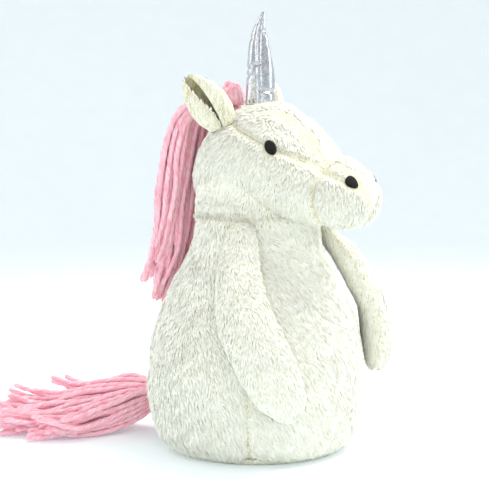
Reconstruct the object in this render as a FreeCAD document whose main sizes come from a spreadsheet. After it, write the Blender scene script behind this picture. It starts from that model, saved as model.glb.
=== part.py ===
import FreeCAD, Part
import Sketcher
import math
import os

# A plush unicorn that sits on a flat round base: a pear-shaped body, two flat arms, a horse's
# head that turns and nods a little on the neck, leaf ears, a soft horn, a yarn mane and a yarn
# tail that lies on the floor behind it.
# Frame: millimetres, +Z up, the origin under the middle of the base. It looks along -Y, so its
# own left is +X. "Ahead" below means towards -Y.

doc = FreeCAD.newDocument("PlushUnicorn")
sheet = doc.addObject("Spreadsheet::Sheet", "Sizes")

SIZES = {
    "skin_thickness": 1.8,
    "panel_gap": 0.3,
    "base_panel_radius": 56.0,
    "base_panel_thickness": 2.4,
    "base_panel_rounding": 0.8,
    "pellet_bag_top": 34.0,
    "pellet_bag_wall": 0.7,
    "front_panel_angle": 120.0,
    "side_panel_angle": 75.0,
    "back_panel_angle": 90.0,
    "neck_height": 162.0,
    "neck_centre_height": 130.0,
    "neck_ball_radius": 52.9,
    "neck_socket_radius": 53.6,
    "neck_thread_radius": 0.6,
    "neck_thread_height": 155.0,
    "neck_thread_ring": 45.1,
    "base_thread_radius": 0.5,
    "base_thread_ring": 61.6,
    "base_thread_height": 1.2,
    "thread_height": 1.1,
    "thread_gap": 0.15,
    "crown_seam_height": 226.0,
    "crown_seam_angle": 25.0,
    "muzzle_seam_place": 64.0,
    "muzzle_seam_height": 180.0,
    "muzzle_seam_angle": 8.0,
    "eye_radius": 4.6,
    "eye_spacing": 36.0,
    "eye_place": 37.0,
    "eye_height": 207.0,
    "nostril_radius": 4.4,
    "nostril_place": 91.0,
    "nostril_height": 184.0,
    "nostril_spacing": 17.0,
    "mane_tape_width": 9.0,
    "mane_tape_bottom": 182.0,
    "mane_tape_top": 231.0,
    "arm_standoff": 2.0,
    "arm_seam_shift": 0.5,
    "arm_thread_radius": 0.5,
    "horn_thread_radius": 0.6,
    "tail_binding_radius": 7.0,
    "tail_binding_hole": 4.6,
    "tail_binding_length": 5.0,
    "tail_lock_gap": 3.0,
    "tail_root_height": 25.0,
    "tail_root_place": 76.4,
}

# Body: height, radius.
BODY = [
    (0, 58), (6, 65.5), (14, 71), (27, 74), (45, 75.5),
    (70, 73.5), (95, 66), (120, 55.5), (141, 46.5), (162, 42.5),
]

# Head: place ahead of the neck, top, bottom, half width.
HEAD = [
    (-41, 196, 178, 9), (-36, 211, 165, 24), (-27, 223, 161, 33), (-12, 234, 159.5, 41),
    (8, 238.5, 158.5, 43.5), (28, 234.5, 157.5, 42), (46, 220, 155.5, 36.5),
    (60, 205.5, 154, 31.5), (74, 202, 152.5, 31.5), (88, 195.5, 155, 27),
    (95, 189, 161, 18.5), (98, 182, 168, 8.5),
]

# Arms: angle round the body from straight ahead, height, half width, half thickness, bow.
RIGHT_ARM = [
    (66.5, 156, 9, 3, 0), (66.3, 146, 11, 5.5, 0), (66, 134, 13, 8, 0), (64, 117, 15.5, 10, 0),
    (60, 98, 18, 11, 0), (54, 80, 18.5, 11.5, 0), (48.5, 63, 18, 11, 0), (43, 47, 14.5, 9, 0),
    (41, 36, 7, 5, 0),
]
LEFT_ARM = [
    (51, 154, 9, 3, 0), (49, 144, 10.5, 5.5, 1), (46, 133, 12.5, 8, 3), (44, 117, 14.5, 9.5, 4.5),
    (43, 100, 16, 10.5, 4), (42, 84, 17, 11, 1.5), (42, 68, 15, 10, 0.5), (42, 57, 7, 5, 0),
]

# Right ear: sideways, ahead, height, half width, half thickness.
EAR = [
    (34, -3.5, 228.5, 7, 2), (36, -6, 232, 12.5, 4), (39, -12, 239.5, 16, 4.5),
    (43, -18, 247, 12.5, 3.5), (48, -25, 256, 2.5, 1.5),
]

# Horn: ahead, height, radius.
HORN = [
    (4, 241, 9.6), (4, 246, 9.6), (3.6, 257, 9.2), (3.2, 268, 8), (3, 279, 6.2),
    (3.6, 289, 4), (5.4, 296, 2.2), (7, 300, 0.9),
]

# Forelock: ahead, height, half width, half length.
FORELOCK = [(-17, 237, 9, 5), (-18, 243, 11.5, 7), (-19.5, 250, 9, 6), (-21.5, 254, 4, 3)]

# A mane lock's middle line: behind the neck, height, half thickness.
MANE = [
    (27, 238, 4), (42, 240, 6), (57, 225, 9), (64, 200, 11), (68, 170, 11),
    (71, 140, 10), (76, 112, 7), (80, 94, 3),
]
# A mane lock's width along its length, as a share of its full width.
MANE_TAPER = (0.38, 0.5, 0.68, 0.9, 0.98, 0.98, 0.82, 0.5)
# Each mane lock: sideways place, half width, how far it stops short.
MANE_LOCKS = [(-26, 4.3, 20), (-14.6, 4.5, 6), (-4.8, 4.6, 0), (4.8, 4.6, 10), (14.6, 4.5, 30)]

# A tail lock: share of its length, half width, half height.
TAIL_SHAPE = [(0, 0.85, 5), (0.25, 3.2, 12), (0.5, 6.2, 12.5), (0.75, 8, 9), (0.93, 6, 6), (1, 2.5, 3)]
# Each tail lock: angle from straight back, length, height of its end above the floor.
TAIL_LOCKS = [(4, 100, 18), (18, 124, 10), (32, 132, 2), (46, 126, 0.4), (61, 104, 0.4)]


def letter(number):
    return "abcdefghijkl"[number]


def fill_sheet():
    """Write every driving dimension into the sheet, one alias a row."""
    rows = dict(SIZES)
    tables = {
        "body": (BODY, ("height", "radius")),
        "head": (HEAD, ("place", "top", "bottom", "wide")),
        "right_arm": (RIGHT_ARM, ("turn", "height", "wide", "thick", "bow")),
        "left_arm": (LEFT_ARM, ("turn", "height", "wide", "thick", "bow")),
        "ear": (EAR, ("side", "place", "height", "wide", "thick")),
        "horn": (HORN, ("place", "height", "radius")),
        "forelock": (FORELOCK, ("place", "height", "wide", "thick")),
        "mane": (MANE, ("back", "height", "thick")),
        "mane_lock": (MANE_LOCKS, ("side", "wide", "short")),
        "tail_shape": (TAIL_SHAPE, ("share", "wide", "thick")),
        "tail_lock": (TAIL_LOCKS, ("turn", "length", "rise")),
    }
    for name, (table, columns) in tables.items():
        for number, row in enumerate(table):
            for column, value in zip(columns, row):
                rows[f"{name}_{letter(number)}_{column}"] = value
    for line, (alias, value) in enumerate(rows.items(), start=1):
        sheet.set(f"A{line}", alias.replace("_", " "))
        sheet.set(f"B{line}", str(value))
        sheet.setAlias(f"B{line}", alias)


fill_sheet()
doc.recompute()


def size(alias):
    return float(sheet.get(alias))


def vector(x, y, z):
    return FreeCAD.Vector(x, y, z)


def part(kind, name, expressions=None, **values):
    """Add a Part object, set its plain values and bind the rest to the sheet."""
    thing = doc.addObject(f"Part::{kind}", name)
    for key, value in values.items():
        setattr(thing, key, value)
    for key, text in (expressions or {}).items():
        thing.setExpression(key, text)
    return thing


def turned(x_axis, z_axis):
    """The rotation that takes X to x_axis and Z to z_axis, which are square to each other."""
    return FreeCAD.Rotation(x_axis, z_axis.cross(x_axis), z_axis, "ZXY")


def oval(name, centre, along, wide_way, wide, thick):
    """One oval section, square to along; wide and thick are (value, expression) pairs."""
    across = along.cross(wide_way)
    if wide[0] < thick[0]:
        wide, thick, wide_way = thick, wide, across
    ring = part("Ellipse", name, {"MajorRadius": wide[1], "MinorRadius": thick[1]})
    ring.Placement = FreeCAD.Placement(centre, turned(wide_way, along))
    return ring


def loft(name, sections):
    return part("Loft", name, Sections=sections, Solid=True, Ruled=True, Closed=False)


def cut(name, base, tool):
    return part("Cut", name, Base=base, Tool=tool)


def common(name, base, tool):
    return part("Common", name, Base=base, Tool=tool)


def bound(alias, inset=""):
    """A pair for oval(): the sheet's value now, and the expression that follows it."""
    return size(alias), f"Sizes.{alias}{inset}"


def square_up(points, thick_way):
    """At each point, the way along the line and the way across it that stays off thick_way."""
    frames = []
    for number, point in enumerate(points):
        before = points[max(number - 1, 0)]
        after = points[min(number + 1, len(points) - 1)]
        along = (after - before).normalize()
        wide_way = along.cross(thick_way(point)).normalize()
        frames.append((along, wide_way))
    return frames


def bar(name, table, points, frames, inset=""):
    """A soft limb: ovals with half sizes from the table's wide and thick cells, lofted."""
    sections = []
    for number, (along, wide_way) in enumerate(frames):
        cells = f"{table}_{letter(number)}"
        sections.append(oval(
            f"{name}_section_{number}", points[number], along, wide_way,
            bound(f"{cells}_wide", inset), bound(f"{cells}_thick", inset),
        ))
    return loft(name, sections)


def half_block(name, origin, rotation, side):
    """A large block whose one face passes through origin, on the given side of its own Y."""
    block = part("Box", name, Length=300, Width=300, Height=300)
    shift = vector(-150, 0 if side > 0 else -300, -150)
    block.Placement = FreeCAD.Placement(origin + rotation.multVec(shift), rotation)
    return block


def slab(name, bottom, top):
    """A wide flat block between two heights, both expressions."""
    block = part("Box", name, {"Height": f"{top} - ({bottom})", "Placement.Base.z": bottom},
                 Length=240, Width=240)
    block.Placement.Base = vector(-120, -120, 0)
    return block


def rod(name, centre, along, radius, length):
    """A round rod whose middle is at centre; radius is an expression."""
    tool = part("Cylinder", name, {"Radius": radius}, Height=length)
    rotation = FreeCAD.Rotation(vector(0, 0, 1), along)
    tool.Placement = FreeCAD.Placement(centre - along * (length / 2), rotation)
    return tool


def thread_ring(name, centre, along, ring, radius):
    """A loop of sewing thread; ring and radius are expressions."""
    loop = part("Torus", name, {"Radius1": ring, "Radius2": radius})
    loop.Placement = FreeCAD.Placement(centre, FreeCAD.Rotation(vector(0, 0, 1), along))
    return loop


def body_radius(height):
    """The body's outer radius at a height, straight between its stations."""
    for (low, first), (high, last) in zip(BODY, BODY[1:]):
        if height <= high:
            return first + (last - first) * (height - low) / (high - low)
    return BODY[-1][1]


def pear(name, inset="", floor="0 mm", ceiling="0 mm"):
    """The body's round sections lofted, drawn in by inset and stopped short at both ends."""
    sections = []
    for number in range(len(BODY)):
        cells = f"Sizes.body_{letter(number)}"
        height = f"{cells}_height * 1 mm"
        if number == 0:
            height += f" + {floor}"
        if number == len(BODY) - 1:
            height += f" - {ceiling}"
        ring = part("Circle", f"{name}_ring_{number}", {
            "Radius": f"{cells}_radius{inset}", "Placement.Base.z": height,
        })
        sections.append(ring)
    return loft(name, sections)


def base_panel():
    """The flat round panel the toy sits on, with its rim rounded."""
    body = doc.addObject("PartDesign::Body", "base_panel")
    plane = [item for item in body.Origin.OriginFeatures if item.Role == "XY_Plane"][0]
    sketch = body.newObject("Sketcher::SketchObject", "base_panel_sketch")
    sketch.AttachmentSupport = [(plane, "")]
    sketch.MapMode = "FlatFace"
    sketch.addGeometry(Part.Circle(vector(0, 0, 0), vector(0, 0, 1), size("base_panel_radius")))
    sketch.addConstraint(Sketcher.Constraint("Coincident", 0, 3, -1, 1))
    rim = sketch.addConstraint(Sketcher.Constraint("Radius", 0, size("base_panel_radius")))
    sketch.setExpression(f"Constraints[{rim}]", "Sizes.base_panel_radius")
    pad = body.newObject("PartDesign::Pad", "base_panel_pad")
    pad.Profile = sketch
    pad.setExpression("Length", "Sizes.base_panel_thickness")
    doc.recompute()
    top = [f"Edge{n}" for n, edge in enumerate(pad.Shape.Edges, start=1)
           if edge.BoundBox.ZMin > size("base_panel_thickness") - 0.01]
    rounding = body.newObject("PartDesign::Fillet", "base_panel_rounding")
    rounding.Base = (pad, top)
    rounding.setExpression("Radius", "Sizes.base_panel_rounding")
    body.Tip = rounding
    return body


def body_parts():
    """The pear-shaped body: four skin panels, the pellet bag, its pellets and the stuffing."""
    lift = "(Sizes.base_panel_thickness + Sizes.panel_gap) * 1 mm"
    outside = pear("body_outside")
    inside = pear("body_inside", " - Sizes.skin_thickness", lift)
    shell = cut("body_shell", outside, inside)
    opening = part("Cylinder", "base_opening", {
        "Radius": "Sizes.base_panel_radius + Sizes.panel_gap",
        "Height": "Sizes.base_panel_thickness + 2 * Sizes.panel_gap",
    })
    ring = cut("body_wall", shell, opening)
    panels = []
    starts = {"front": -150, "right": 135, "back": 45, "left": -30}
    for side, start in starts.items():
        cell = "side" if side in ("left", "right") else side
        wedge = part("Cylinder", f"{side}_wedge", {"Angle": f"Sizes.{cell}_panel_angle"},
                     Radius=120, Height=200)
        wedge.Placement.Rotation = FreeCAD.Rotation(vector(0, 0, 1), start)
        panels.append(common(f"body_{side}_panel", ring, wedge))

    low = slab("bag_room", "0 mm", "Sizes.pellet_bag_top * 1 mm")
    high = slab("stuffing_room", "(Sizes.pellet_bag_top + Sizes.panel_gap) * 1 mm", "200 mm")
    bag_outside = common("pellet_bag_outside", inside, low)
    core = pear("pellet_core", " - Sizes.skin_thickness - Sizes.pellet_bag_wall",
                f"{lift} + Sizes.pellet_bag_wall * 1 mm")
    core_room = slab("pellet_room", "0 mm", "(Sizes.pellet_bag_top - Sizes.pellet_bag_wall) * 1 mm")
    pellets = common("pellets", core, core_room)
    bag = cut("pellet_bag", bag_outside, pellets)

    trunk = common("trunk_stuffing", inside, high)
    ball = part("Sphere", "neck_ball", {
        "Radius": "Sizes.neck_ball_radius", "Placement.Base.z": "Sizes.neck_centre_height * 1 mm",
    })
    cap = common("neck_cap", ball, slab("cap_room", "Sizes.neck_height * 1 mm", "200 mm"))
    stuffing = part("Fuse", "body_filling", Base=trunk, Tool=cap)
    return panels + [bag, pellets, stuffing]


def body_threads():
    up = vector(0, 0, 1)
    neck = thread_ring("neck_seam_thread", vector(0, 0, size("neck_thread_height")), up,
                       "Sizes.neck_thread_ring", "Sizes.neck_thread_radius")
    base = thread_ring("base_seam_thread", vector(0, 0, size("base_thread_height")), up,
                       "Sizes.base_thread_ring", "Sizes.base_thread_radius")
    return [neck, base]


def head_form(name, inset, tip_inset):
    """The head's oval sections lofted, every side drawn in and both ends stopped short."""
    sections = []
    last = len(HEAD) - 1
    for number in range(len(HEAD)):
        cells = f"head_{letter(number)}"
        place = size(f"{cells}_place") + {0: tip_inset, last: -tip_inset}.get(number, 0)
        top = size(f"{cells}_top")
        bottom = size(f"{cells}_bottom")
        high = (top - bottom) / 2, f"(Sizes.{cells}_top - Sizes.{cells}_bottom) / 2{inset}"
        centre = vector(0, -place, (top + bottom) / 2)
        sections.append(oval(f"{name}_section_{number}", centre, vector(0, -1, 0),
                             vector(1, 0, 0), bound(f"{cells}_wide", inset), high))
    return loft(name, sections)


def eye_and_nostril_stitching(layer):
    """Black satin stitch, in a thin layer that follows the head's surface."""
    pieces = []
    for side, sign in (("right", -1), ("left", 1)):
        eye_centre = vector(sign * size("eye_spacing"), -size("eye_place"), size("eye_height"))
        eye_way = vector(sign * 0.9, -0.25, 0.35).normalize()
        eye = rod(f"{side}_eye_rod", eye_centre, eye_way, "Sizes.eye_radius", 30)
        pieces.append(common(f"{side}_eye_stitching", layer, eye))
        spacing = sign * size("nostril_spacing")
        nose_centre = vector(spacing, -size("nostril_place"), size("nostril_height"))
        nose_way = vector(sign * 0.55, -0.8, 0.25).normalize()
        nose = rod(f"{side}_nostril_rod", nose_centre, nose_way, "Sizes.nostril_radius", 22)
        pieces.append(common(f"{side}_nostril_stitching", layer, nose))
    return pieces


def mane_tape(layer):
    """The woven tape that the mane is sewn to, down the middle of the back of the head."""
    strip = part("Box", "mane_tape_strip", {
        "Length": "Sizes.mane_tape_width", "Height": "Sizes.mane_tape_top - Sizes.mane_tape_bottom",
        "Placement.Base.x": "-Sizes.mane_tape_width / 2 * 1 mm",
        "Placement.Base.z": "Sizes.mane_tape_bottom * 1 mm",
    }, Width=40)
    strip.Placement.Base.y = 15
    return common("mane_tape", layer, strip)


def head_parts():
    """Six skin panels over one stuffing that is hollowed below to sit on the neck's ball."""
    outside = head_form("head_outside", "", 0)
    inside = head_form("head_inside", " - Sizes.skin_thickness", size("skin_thickness"))
    socket = part("Sphere", "neck_socket", {
        "Radius": "Sizes.neck_socket_radius", "Placement.Base.z": "Sizes.neck_centre_height * 1 mm",
    })
    stuffing = cut("head_filling", inside, socket)
    wall = cut("head_wall", cut("head_shell", outside, inside), socket)

    crown_height = size("crown_seam_height")
    crown_angle = size("crown_seam_angle")
    below = FreeCAD.Rotation(vector(1, 0, 0), 90 + crown_angle)
    top_block = half_block("above_crown_seam", vector(0, 0, crown_height), below, 1)
    low_block = half_block("below_crown_seam", vector(0, 0, crown_height), below, -1)
    muzzle_place = size("muzzle_seam_place")
    tilt = FreeCAD.Rotation(vector(1, 0, 0), size("muzzle_seam_angle"))
    middle = vector(0, -muzzle_place, size("muzzle_seam_height"))
    ahead = half_block("ahead_of_muzzle_seam", middle, tilt, -1)
    behind = half_block("behind_muzzle_seam", middle, tilt, 1)
    centre = vector(0, 0, size("muzzle_seam_height"))
    quarter = FreeCAD.Rotation(vector(0, 0, 1), -90)
    left_block = half_block("left_of_middle", centre, quarter, 1)
    right_block = half_block("right_of_middle", centre, quarter, -1)

    face_back = common("head_wall_behind_seam", wall, behind)
    muzzle = common("muzzle_wall", wall, ahead)
    cheeks = common("cheek_wall", face_back, low_block)
    muzzle_low = common("muzzle_side_wall", muzzle, low_block)
    panels = [
        common("crown_panel", face_back, top_block),
        common("nose_bridge_panel", muzzle, top_block),
        common("right_cheek_panel", cheeks, right_block),
        common("left_cheek_panel", cheeks, left_block),
        common("right_muzzle_panel", muzzle_low, right_block),
        common("left_muzzle_panel", muzzle_low, left_block),
    ]

    raised = head_form("thread_outside", " + Sizes.thread_height", -size("thread_height"))
    clear = head_form("thread_inside", " + Sizes.thread_gap", -size("thread_gap"))
    layer = cut("thread_layer", raised, clear)
    return panels + [stuffing, mane_tape(layer)] + eye_and_nostril_stitching(layer)


def shell_and_core(name, table, points, thick_way):
    """A limb's outer loft and the stuffing inside it; the skin is what lies between them."""
    skin = size("skin_thickness")
    frames = square_up(points, thick_way)
    outside = bar(f"{name}_outside", table, points, frames)
    inner = list(points)
    inner[0] = points[0] + frames[0][0] * skin
    inner[-1] = points[-1] - frames[-1][0] * skin
    core = bar(f"{name}_filling", table, inner, frames, " - Sizes.skin_thickness")
    return core, cut(f"{name}_skin", outside, core)


def arm_points(table, rows, sign):
    """Points down the arm, each one just clear of the body at its height."""
    points = []
    for number in range(len(rows)):
        cells = f"{table}_{letter(number)}"
        height = size(f"{cells}_height")
        turn = math.radians(size(f"{cells}_turn"))
        reach = body_radius(height) + size("arm_standoff") + size(f"{cells}_thick")
        reach += size(f"{cells}_bow")
        points.append(vector(sign * reach * math.sin(turn), -reach * math.cos(turn), height))
    return points


def outward(point):
    return vector(point.x, point.y, 0).normalize()


def arm_parts(side, rows, sign):
    """One flat stuffed arm: outer and inner panels, stuffing and the shoulder stitching."""
    table = f"{side}_arm"
    points = arm_points(table, rows, sign)
    core, skin = shell_and_core(table, table, points, outward)
    middle = points[len(points) // 2]
    down = (points[-1] - points[0]).normalize()
    across = down.cross(outward(middle)).normalize()
    half = turned(across, down)
    seam = middle + outward(middle) * size("arm_seam_shift")
    outer_block = half_block(f"{table}_outer_block", seam, half, 1)
    inner_block = half_block(f"{table}_inner_block", seam, half, -1)
    out_side = half.multVec(vector(0, 1, 0)).dot(outward(middle)) > 0
    outer_tool, inner_tool = (outer_block, inner_block) if out_side else (inner_block, outer_block)
    outer = common(f"{table}_outer_panel", skin, outer_tool)
    inner = common(f"{table}_inner_panel", skin, inner_tool)
    along, wide_way = square_up(points, outward)[0]
    stitch = part("Cylinder", f"{side}_shoulder_stitching", {"Radius": "Sizes.arm_thread_radius"})
    stitch.Height = 2 * size(f"{table}_a_wide") - 2
    place = points[0] - along * (size("arm_thread_radius") + 0.1)
    start = place - wide_way * (stitch.Height.Value / 2)
    stitch.Placement = FreeCAD.Placement(start, FreeCAD.Rotation(vector(0, 0, 1), wide_way))
    return [outer, inner, core, stitch]


def ear_parts(side, sign):
    """One leaf-shaped ear: a plush back and a smooth lining, sewn edge to edge."""
    points = []
    for number in range(len(EAR)):
        cells = f"ear_{letter(number)}"
        points.append(vector(sign * size(f"{cells}_side"), -size(f"{cells}_place"),
                             size(f"{cells}_height")))
    face = vector(sign * 0.8, -0.45, 0.1).normalize()
    frames = square_up(points, lambda point: face)
    leaf = bar(f"{side}_ear_leaf", "ear", points, frames)
    along, wide_way = frames[2]
    half = turned(wide_way, along)
    front = half.multVec(vector(0, 1, 0)).dot(face) > 0
    blocks = [half_block(f"{side}_ear_block_{n}", points[2], half, n) for n in (1, -1)]
    front_block, back_block = blocks if front else blocks[::-1]
    return [
        common(f"{side}_ear_back_panel", leaf, back_block),
        common(f"{side}_ear_lining", leaf, front_block),
    ]


def horn_form(name, inset, tip_inset):
    sections = []
    points = [vector(0, -size(f"horn_{letter(n)}_place"), size(f"horn_{letter(n)}_height"))
              for n in range(len(HORN))]
    points[0].z += tip_inset
    points[-1].z -= 4 * tip_inset
    for number, (along, wide_way) in enumerate(square_up(points, lambda point: vector(0, 1, 0))):
        pair = bound(f"horn_{letter(number)}_radius", inset(number))
        sections.append(oval(f"{name}_section_{number}", points[number], along, wide_way,
                             pair, pair))
    return loft(name, sections)


def horn_parts():
    """The soft horn: a silver cloth cone, its stuffing and the stitches round its foot."""
    outside = horn_form("horn_outside", lambda number: "", 0)
    wall = " - Sizes.skin_thickness / 2"
    core = horn_form("horn_filling", lambda number: wall if number < 6 else " / 2",
                     size("skin_thickness") / 2)
    cover = cut("horn_cover", outside, core)
    foot = vector(0, -size("horn_a_place"), size("horn_a_height") - 0.7)
    ring = thread_ring("horn_stitching", foot, vector(0, 0, 1),
                       "Sizes.horn_a_radius - Sizes.horn_thread_radius",
                       "Sizes.horn_thread_radius")
    return [cover, core, ring]


def forelock():
    """The short bunch of yarn between the ears, just behind the horn."""
    points = [vector(0, -size(f"forelock_{letter(n)}_place"), size(f"forelock_{letter(n)}_height"))
              for n in range(len(FORELOCK))]
    sections = []
    for number, point in enumerate(points):
        cells = f"forelock_{letter(number)}"
        sections.append(oval(f"forelock_section_{number}", point, vector(0, 0, 1),
                             vector(1, 0, 0), bound(f"{cells}_wide"), bound(f"{cells}_thick")))
    return loft("forelock", sections)


def mane_lock(number):
    """One lock of the mane: it rises off the tape and hangs down behind the neck."""
    cells = f"mane_lock_{letter(number)}"
    side = size(f"{cells}_side")
    top = size("mane_a_height")
    drop = top - size(f"mane_{letter(len(MANE) - 1)}_height")
    share = (drop - size(f"{cells}_short")) / drop
    name = f"mane_lock_{number + 1}"
    points = []
    for row in range(len(MANE)):
        station = f"mane_{letter(row)}"
        height = top - (top - size(f"{station}_height")) * share
        spread = 0.5 + 0.5 * min(1, row / 3)
        points.append(vector(side * spread, size(f"{station}_back"), height))
    sections = []
    frames = square_up(points, lambda point: vector(0, 1, 0.02))
    for row, (along, wide_way) in enumerate(frames):
        taper = MANE_TAPER[row]
        wide = size(f"{cells}_wide") * taper, f"Sizes.{cells}_wide * {taper}"
        sections.append(oval(f"{name}_section_{row}", points[row], along, wide_way,
                             wide, bound(f"mane_{letter(row)}_thick")))
    return loft(name, sections)


def tail_lock(number):
    """One lock of the tail: it leaves the binding, arches and comes down to the floor."""
    cells = f"tail_lock_{letter(number)}"
    turn = math.radians(size(f"{cells}_turn"))
    length = size(f"{cells}_length")
    root_height = size("tail_root_height")
    start = size("tail_root_place") + size("tail_binding_length") + size("tail_lock_gap")
    end_height = size(f"{cells}_rise")
    name = f"tail_lock_{number + 1}"
    points = []
    for row in range(len(TAIL_SHAPE)):
        station = f"tail_shape_{letter(row)}"
        share = size(f"{station}_share")
        thick = size(f"{station}_thick")
        fall = 0.5 - 0.5 * math.cos(math.pi * share)
        height = root_height * (1 - fall) + (end_height + thick) * fall
        reach = share * length
        fan = (2 - number) * 1.9 * (1 - share)
        points.append(vector(fan - math.sin(turn) * reach, start + math.cos(turn) * reach, height))
    sections = []
    for row, (along, wide_way) in enumerate(square_up(points, lambda point: vector(0, 0, 1))):
        station = f"tail_shape_{letter(row)}"
        sections.append(oval(f"{name}_section_{row}", points[row], along, wide_way,
                             bound(f"{station}_wide"), bound(f"{station}_thick")))
    return loft(name, sections)


def tail_binding():
    """The whipped thread band that holds the tail's yarn together at its root."""
    root = vector(0, size("tail_root_place"), size("tail_root_height"))
    way = FreeCAD.Rotation(vector(0, 0, 1), vector(0, 1, 0))
    band = part("Cylinder", "tail_band", {
        "Radius": "Sizes.tail_binding_radius", "Height": "Sizes.tail_binding_length",
    })
    hole = part("Cylinder", "tail_band_hole", {
        "Radius": "Sizes.tail_binding_hole", "Height": "Sizes.tail_binding_length",
    })
    for item in (band, hole):
        item.Placement = FreeCAD.Placement(root, way)
    hole.Label = "tail_yarn_root"
    return [cut("tail_binding", band, hole), hole]


def write_parts(parts):
    """Check the whole document, then write each piece to its own file."""
    doc.recompute()
    failed = [item.Name for item in doc.Objects if {"Invalid", "Error"} & set(item.State)]
    if failed:
        raise RuntimeError(f"these failed: {failed}")
    os.makedirs("parts", exist_ok=True)
    for item in parts:
        shape = item.Shape
        if shape.isNull() or not shape.isValid() or not shape.Solids:
            raise RuntimeError(f"{item.Label} has no valid solid")
        if abs(shape.Volume) < 0.5:
            raise RuntimeError(f"{item.Label} is empty")
        shape.exportStep(f"parts/{item.Label}.step")
        print(f"{item.Label:28s} {len(shape.Solids)} solid(s) {shape.Volume / 1000:9.2f} cm3")


parts = [base_panel()] + body_parts() + body_threads() + head_parts() + horn_parts()
parts += [forelock()]
parts += arm_parts("right", RIGHT_ARM, -1) + arm_parts("left", LEFT_ARM, 1)
parts += ear_parts("right", -1) + ear_parts("left", 1)
parts += [mane_lock(number) for number in range(len(MANE_LOCKS))]
parts += tail_binding() + [tail_lock(number) for number in range(len(TAIL_LOCKS))]
write_parts(parts)
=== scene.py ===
# %% [markdown]
# # A plush unicorn, piece by piece
# A soft toy is a set of cloth panels sewn into shells, filled with fibre and brushed until the
# pile lies one way. This lesson rebuilds one from surfaces worked out with numpy: every panel is
# a grid of points that a formula places, every tuft and every strand of yarn is a small solid
# scattered over those grids, and the materials add weave, streaks and fibre.
#
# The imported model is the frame: it gives the scale, and it says which body every piece rides on.

# %% Load the frame
import bpy
import bmesh
import numpy as np
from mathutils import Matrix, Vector


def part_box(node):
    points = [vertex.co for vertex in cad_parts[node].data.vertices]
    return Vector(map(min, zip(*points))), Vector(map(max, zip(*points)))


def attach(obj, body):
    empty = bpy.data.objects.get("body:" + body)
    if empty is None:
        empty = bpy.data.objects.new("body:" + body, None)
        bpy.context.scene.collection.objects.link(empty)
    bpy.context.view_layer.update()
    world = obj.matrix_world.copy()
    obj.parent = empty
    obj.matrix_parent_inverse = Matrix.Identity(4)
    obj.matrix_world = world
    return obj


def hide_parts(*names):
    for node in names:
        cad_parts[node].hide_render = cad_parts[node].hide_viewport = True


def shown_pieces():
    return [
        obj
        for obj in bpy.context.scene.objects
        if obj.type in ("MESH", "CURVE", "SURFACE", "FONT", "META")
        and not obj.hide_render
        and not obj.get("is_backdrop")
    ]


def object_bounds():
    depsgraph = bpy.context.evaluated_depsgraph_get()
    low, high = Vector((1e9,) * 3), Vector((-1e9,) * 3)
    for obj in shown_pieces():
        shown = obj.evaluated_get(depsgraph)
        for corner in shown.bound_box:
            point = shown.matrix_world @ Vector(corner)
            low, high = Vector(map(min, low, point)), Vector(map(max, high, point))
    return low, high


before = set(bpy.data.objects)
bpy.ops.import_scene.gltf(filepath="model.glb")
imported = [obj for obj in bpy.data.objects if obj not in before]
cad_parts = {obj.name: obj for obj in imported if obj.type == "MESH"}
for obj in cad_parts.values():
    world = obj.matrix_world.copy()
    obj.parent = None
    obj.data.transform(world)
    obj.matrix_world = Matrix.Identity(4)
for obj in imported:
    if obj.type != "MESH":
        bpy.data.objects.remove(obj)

cad_box = [list(corner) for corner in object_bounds()]
NECK_HEIGHT = 162.0
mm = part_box("body_front_panel")[1].z / NECK_HEIGHT
print("CAD box", cad_box, "one millimetre is", mm)

# %% [markdown]
# ## The camera and the light
# The toy is seen from a little above, from its own front right, through a long lens, so that the
# head keeps its true proportions. The light is a bright, soft studio: one large panel above and
# behind its left side, a broad fill beside the camera, and a pale world that lifts the shadows.

# %% Camera
CAMERA_DISTANCE = 912 * mm
CAMERA_HEIGHT = 223 * mm
CAMERA_AZIMUTH = np.radians(-55)
CAMERA_PITCH = np.radians(5.1)
CAMERA_YAW = np.radians(0.52)
CAMERA_LENS = 97.5


def make_camera():
    """The camera stands at an angle round the toy and looks almost at its axis."""
    away = np.array([np.sin(CAMERA_AZIMUTH), -np.cos(CAMERA_AZIMUTH), 0.0])
    turn = np.array([[np.cos(CAMERA_YAW), -np.sin(CAMERA_YAW), 0],
                     [np.sin(CAMERA_YAW), np.cos(CAMERA_YAW), 0], [0, 0, 1]])
    look = turn @ -away * np.cos(CAMERA_PITCH) - np.array([0, 0, np.sin(CAMERA_PITCH)])
    data = bpy.data.cameras.new("studio_camera")
    data.lens = CAMERA_LENS
    camera = bpy.data.objects.new("studio_camera", data)
    camera.location = Vector(away * CAMERA_DISTANCE) + Vector((0, 0, CAMERA_HEIGHT))
    camera.rotation_euler = Vector(look).to_track_quat("-Z", "Y").to_euler()
    bpy.context.scene.collection.objects.link(camera)
    bpy.context.scene.camera = camera
    return camera


camera = make_camera()
print("camera at", tuple(round(c, 3) for c in camera.location))


# %% Lights and world
def area_light(name, place, aim, size, power, colour=(1, 1, 1)):
    """A square soft light at place, turned towards aim."""
    data = bpy.data.lights.new(name, "AREA")
    data.size, data.energy, data.color = size, power, colour
    lamp = bpy.data.objects.new(name, data)
    lamp.location = place
    lamp.rotation_euler = (Vector(aim) - Vector(place)).to_track_quat("-Z", "Y").to_euler()
    bpy.context.scene.collection.objects.link(lamp)
    return lamp


CHEST = (0, 0, 0.14)
area_light("top_panel", (0.30, -0.30, 1.05), CHEST, 0.6, 8.8, (1.0, 0.99, 0.965))
area_light("left_window", (0.75, -0.75, 0.55), CHEST, 0.6, 2.6)
area_light("camera_fill", (-1.0, -0.9, 0.75), CHEST, 1.0, 4.0, (1.0, 0.99, 0.965))
area_light("back_fill", (-0.5, 0.9, 0.6), CHEST, 0.9, 3.2)


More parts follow.
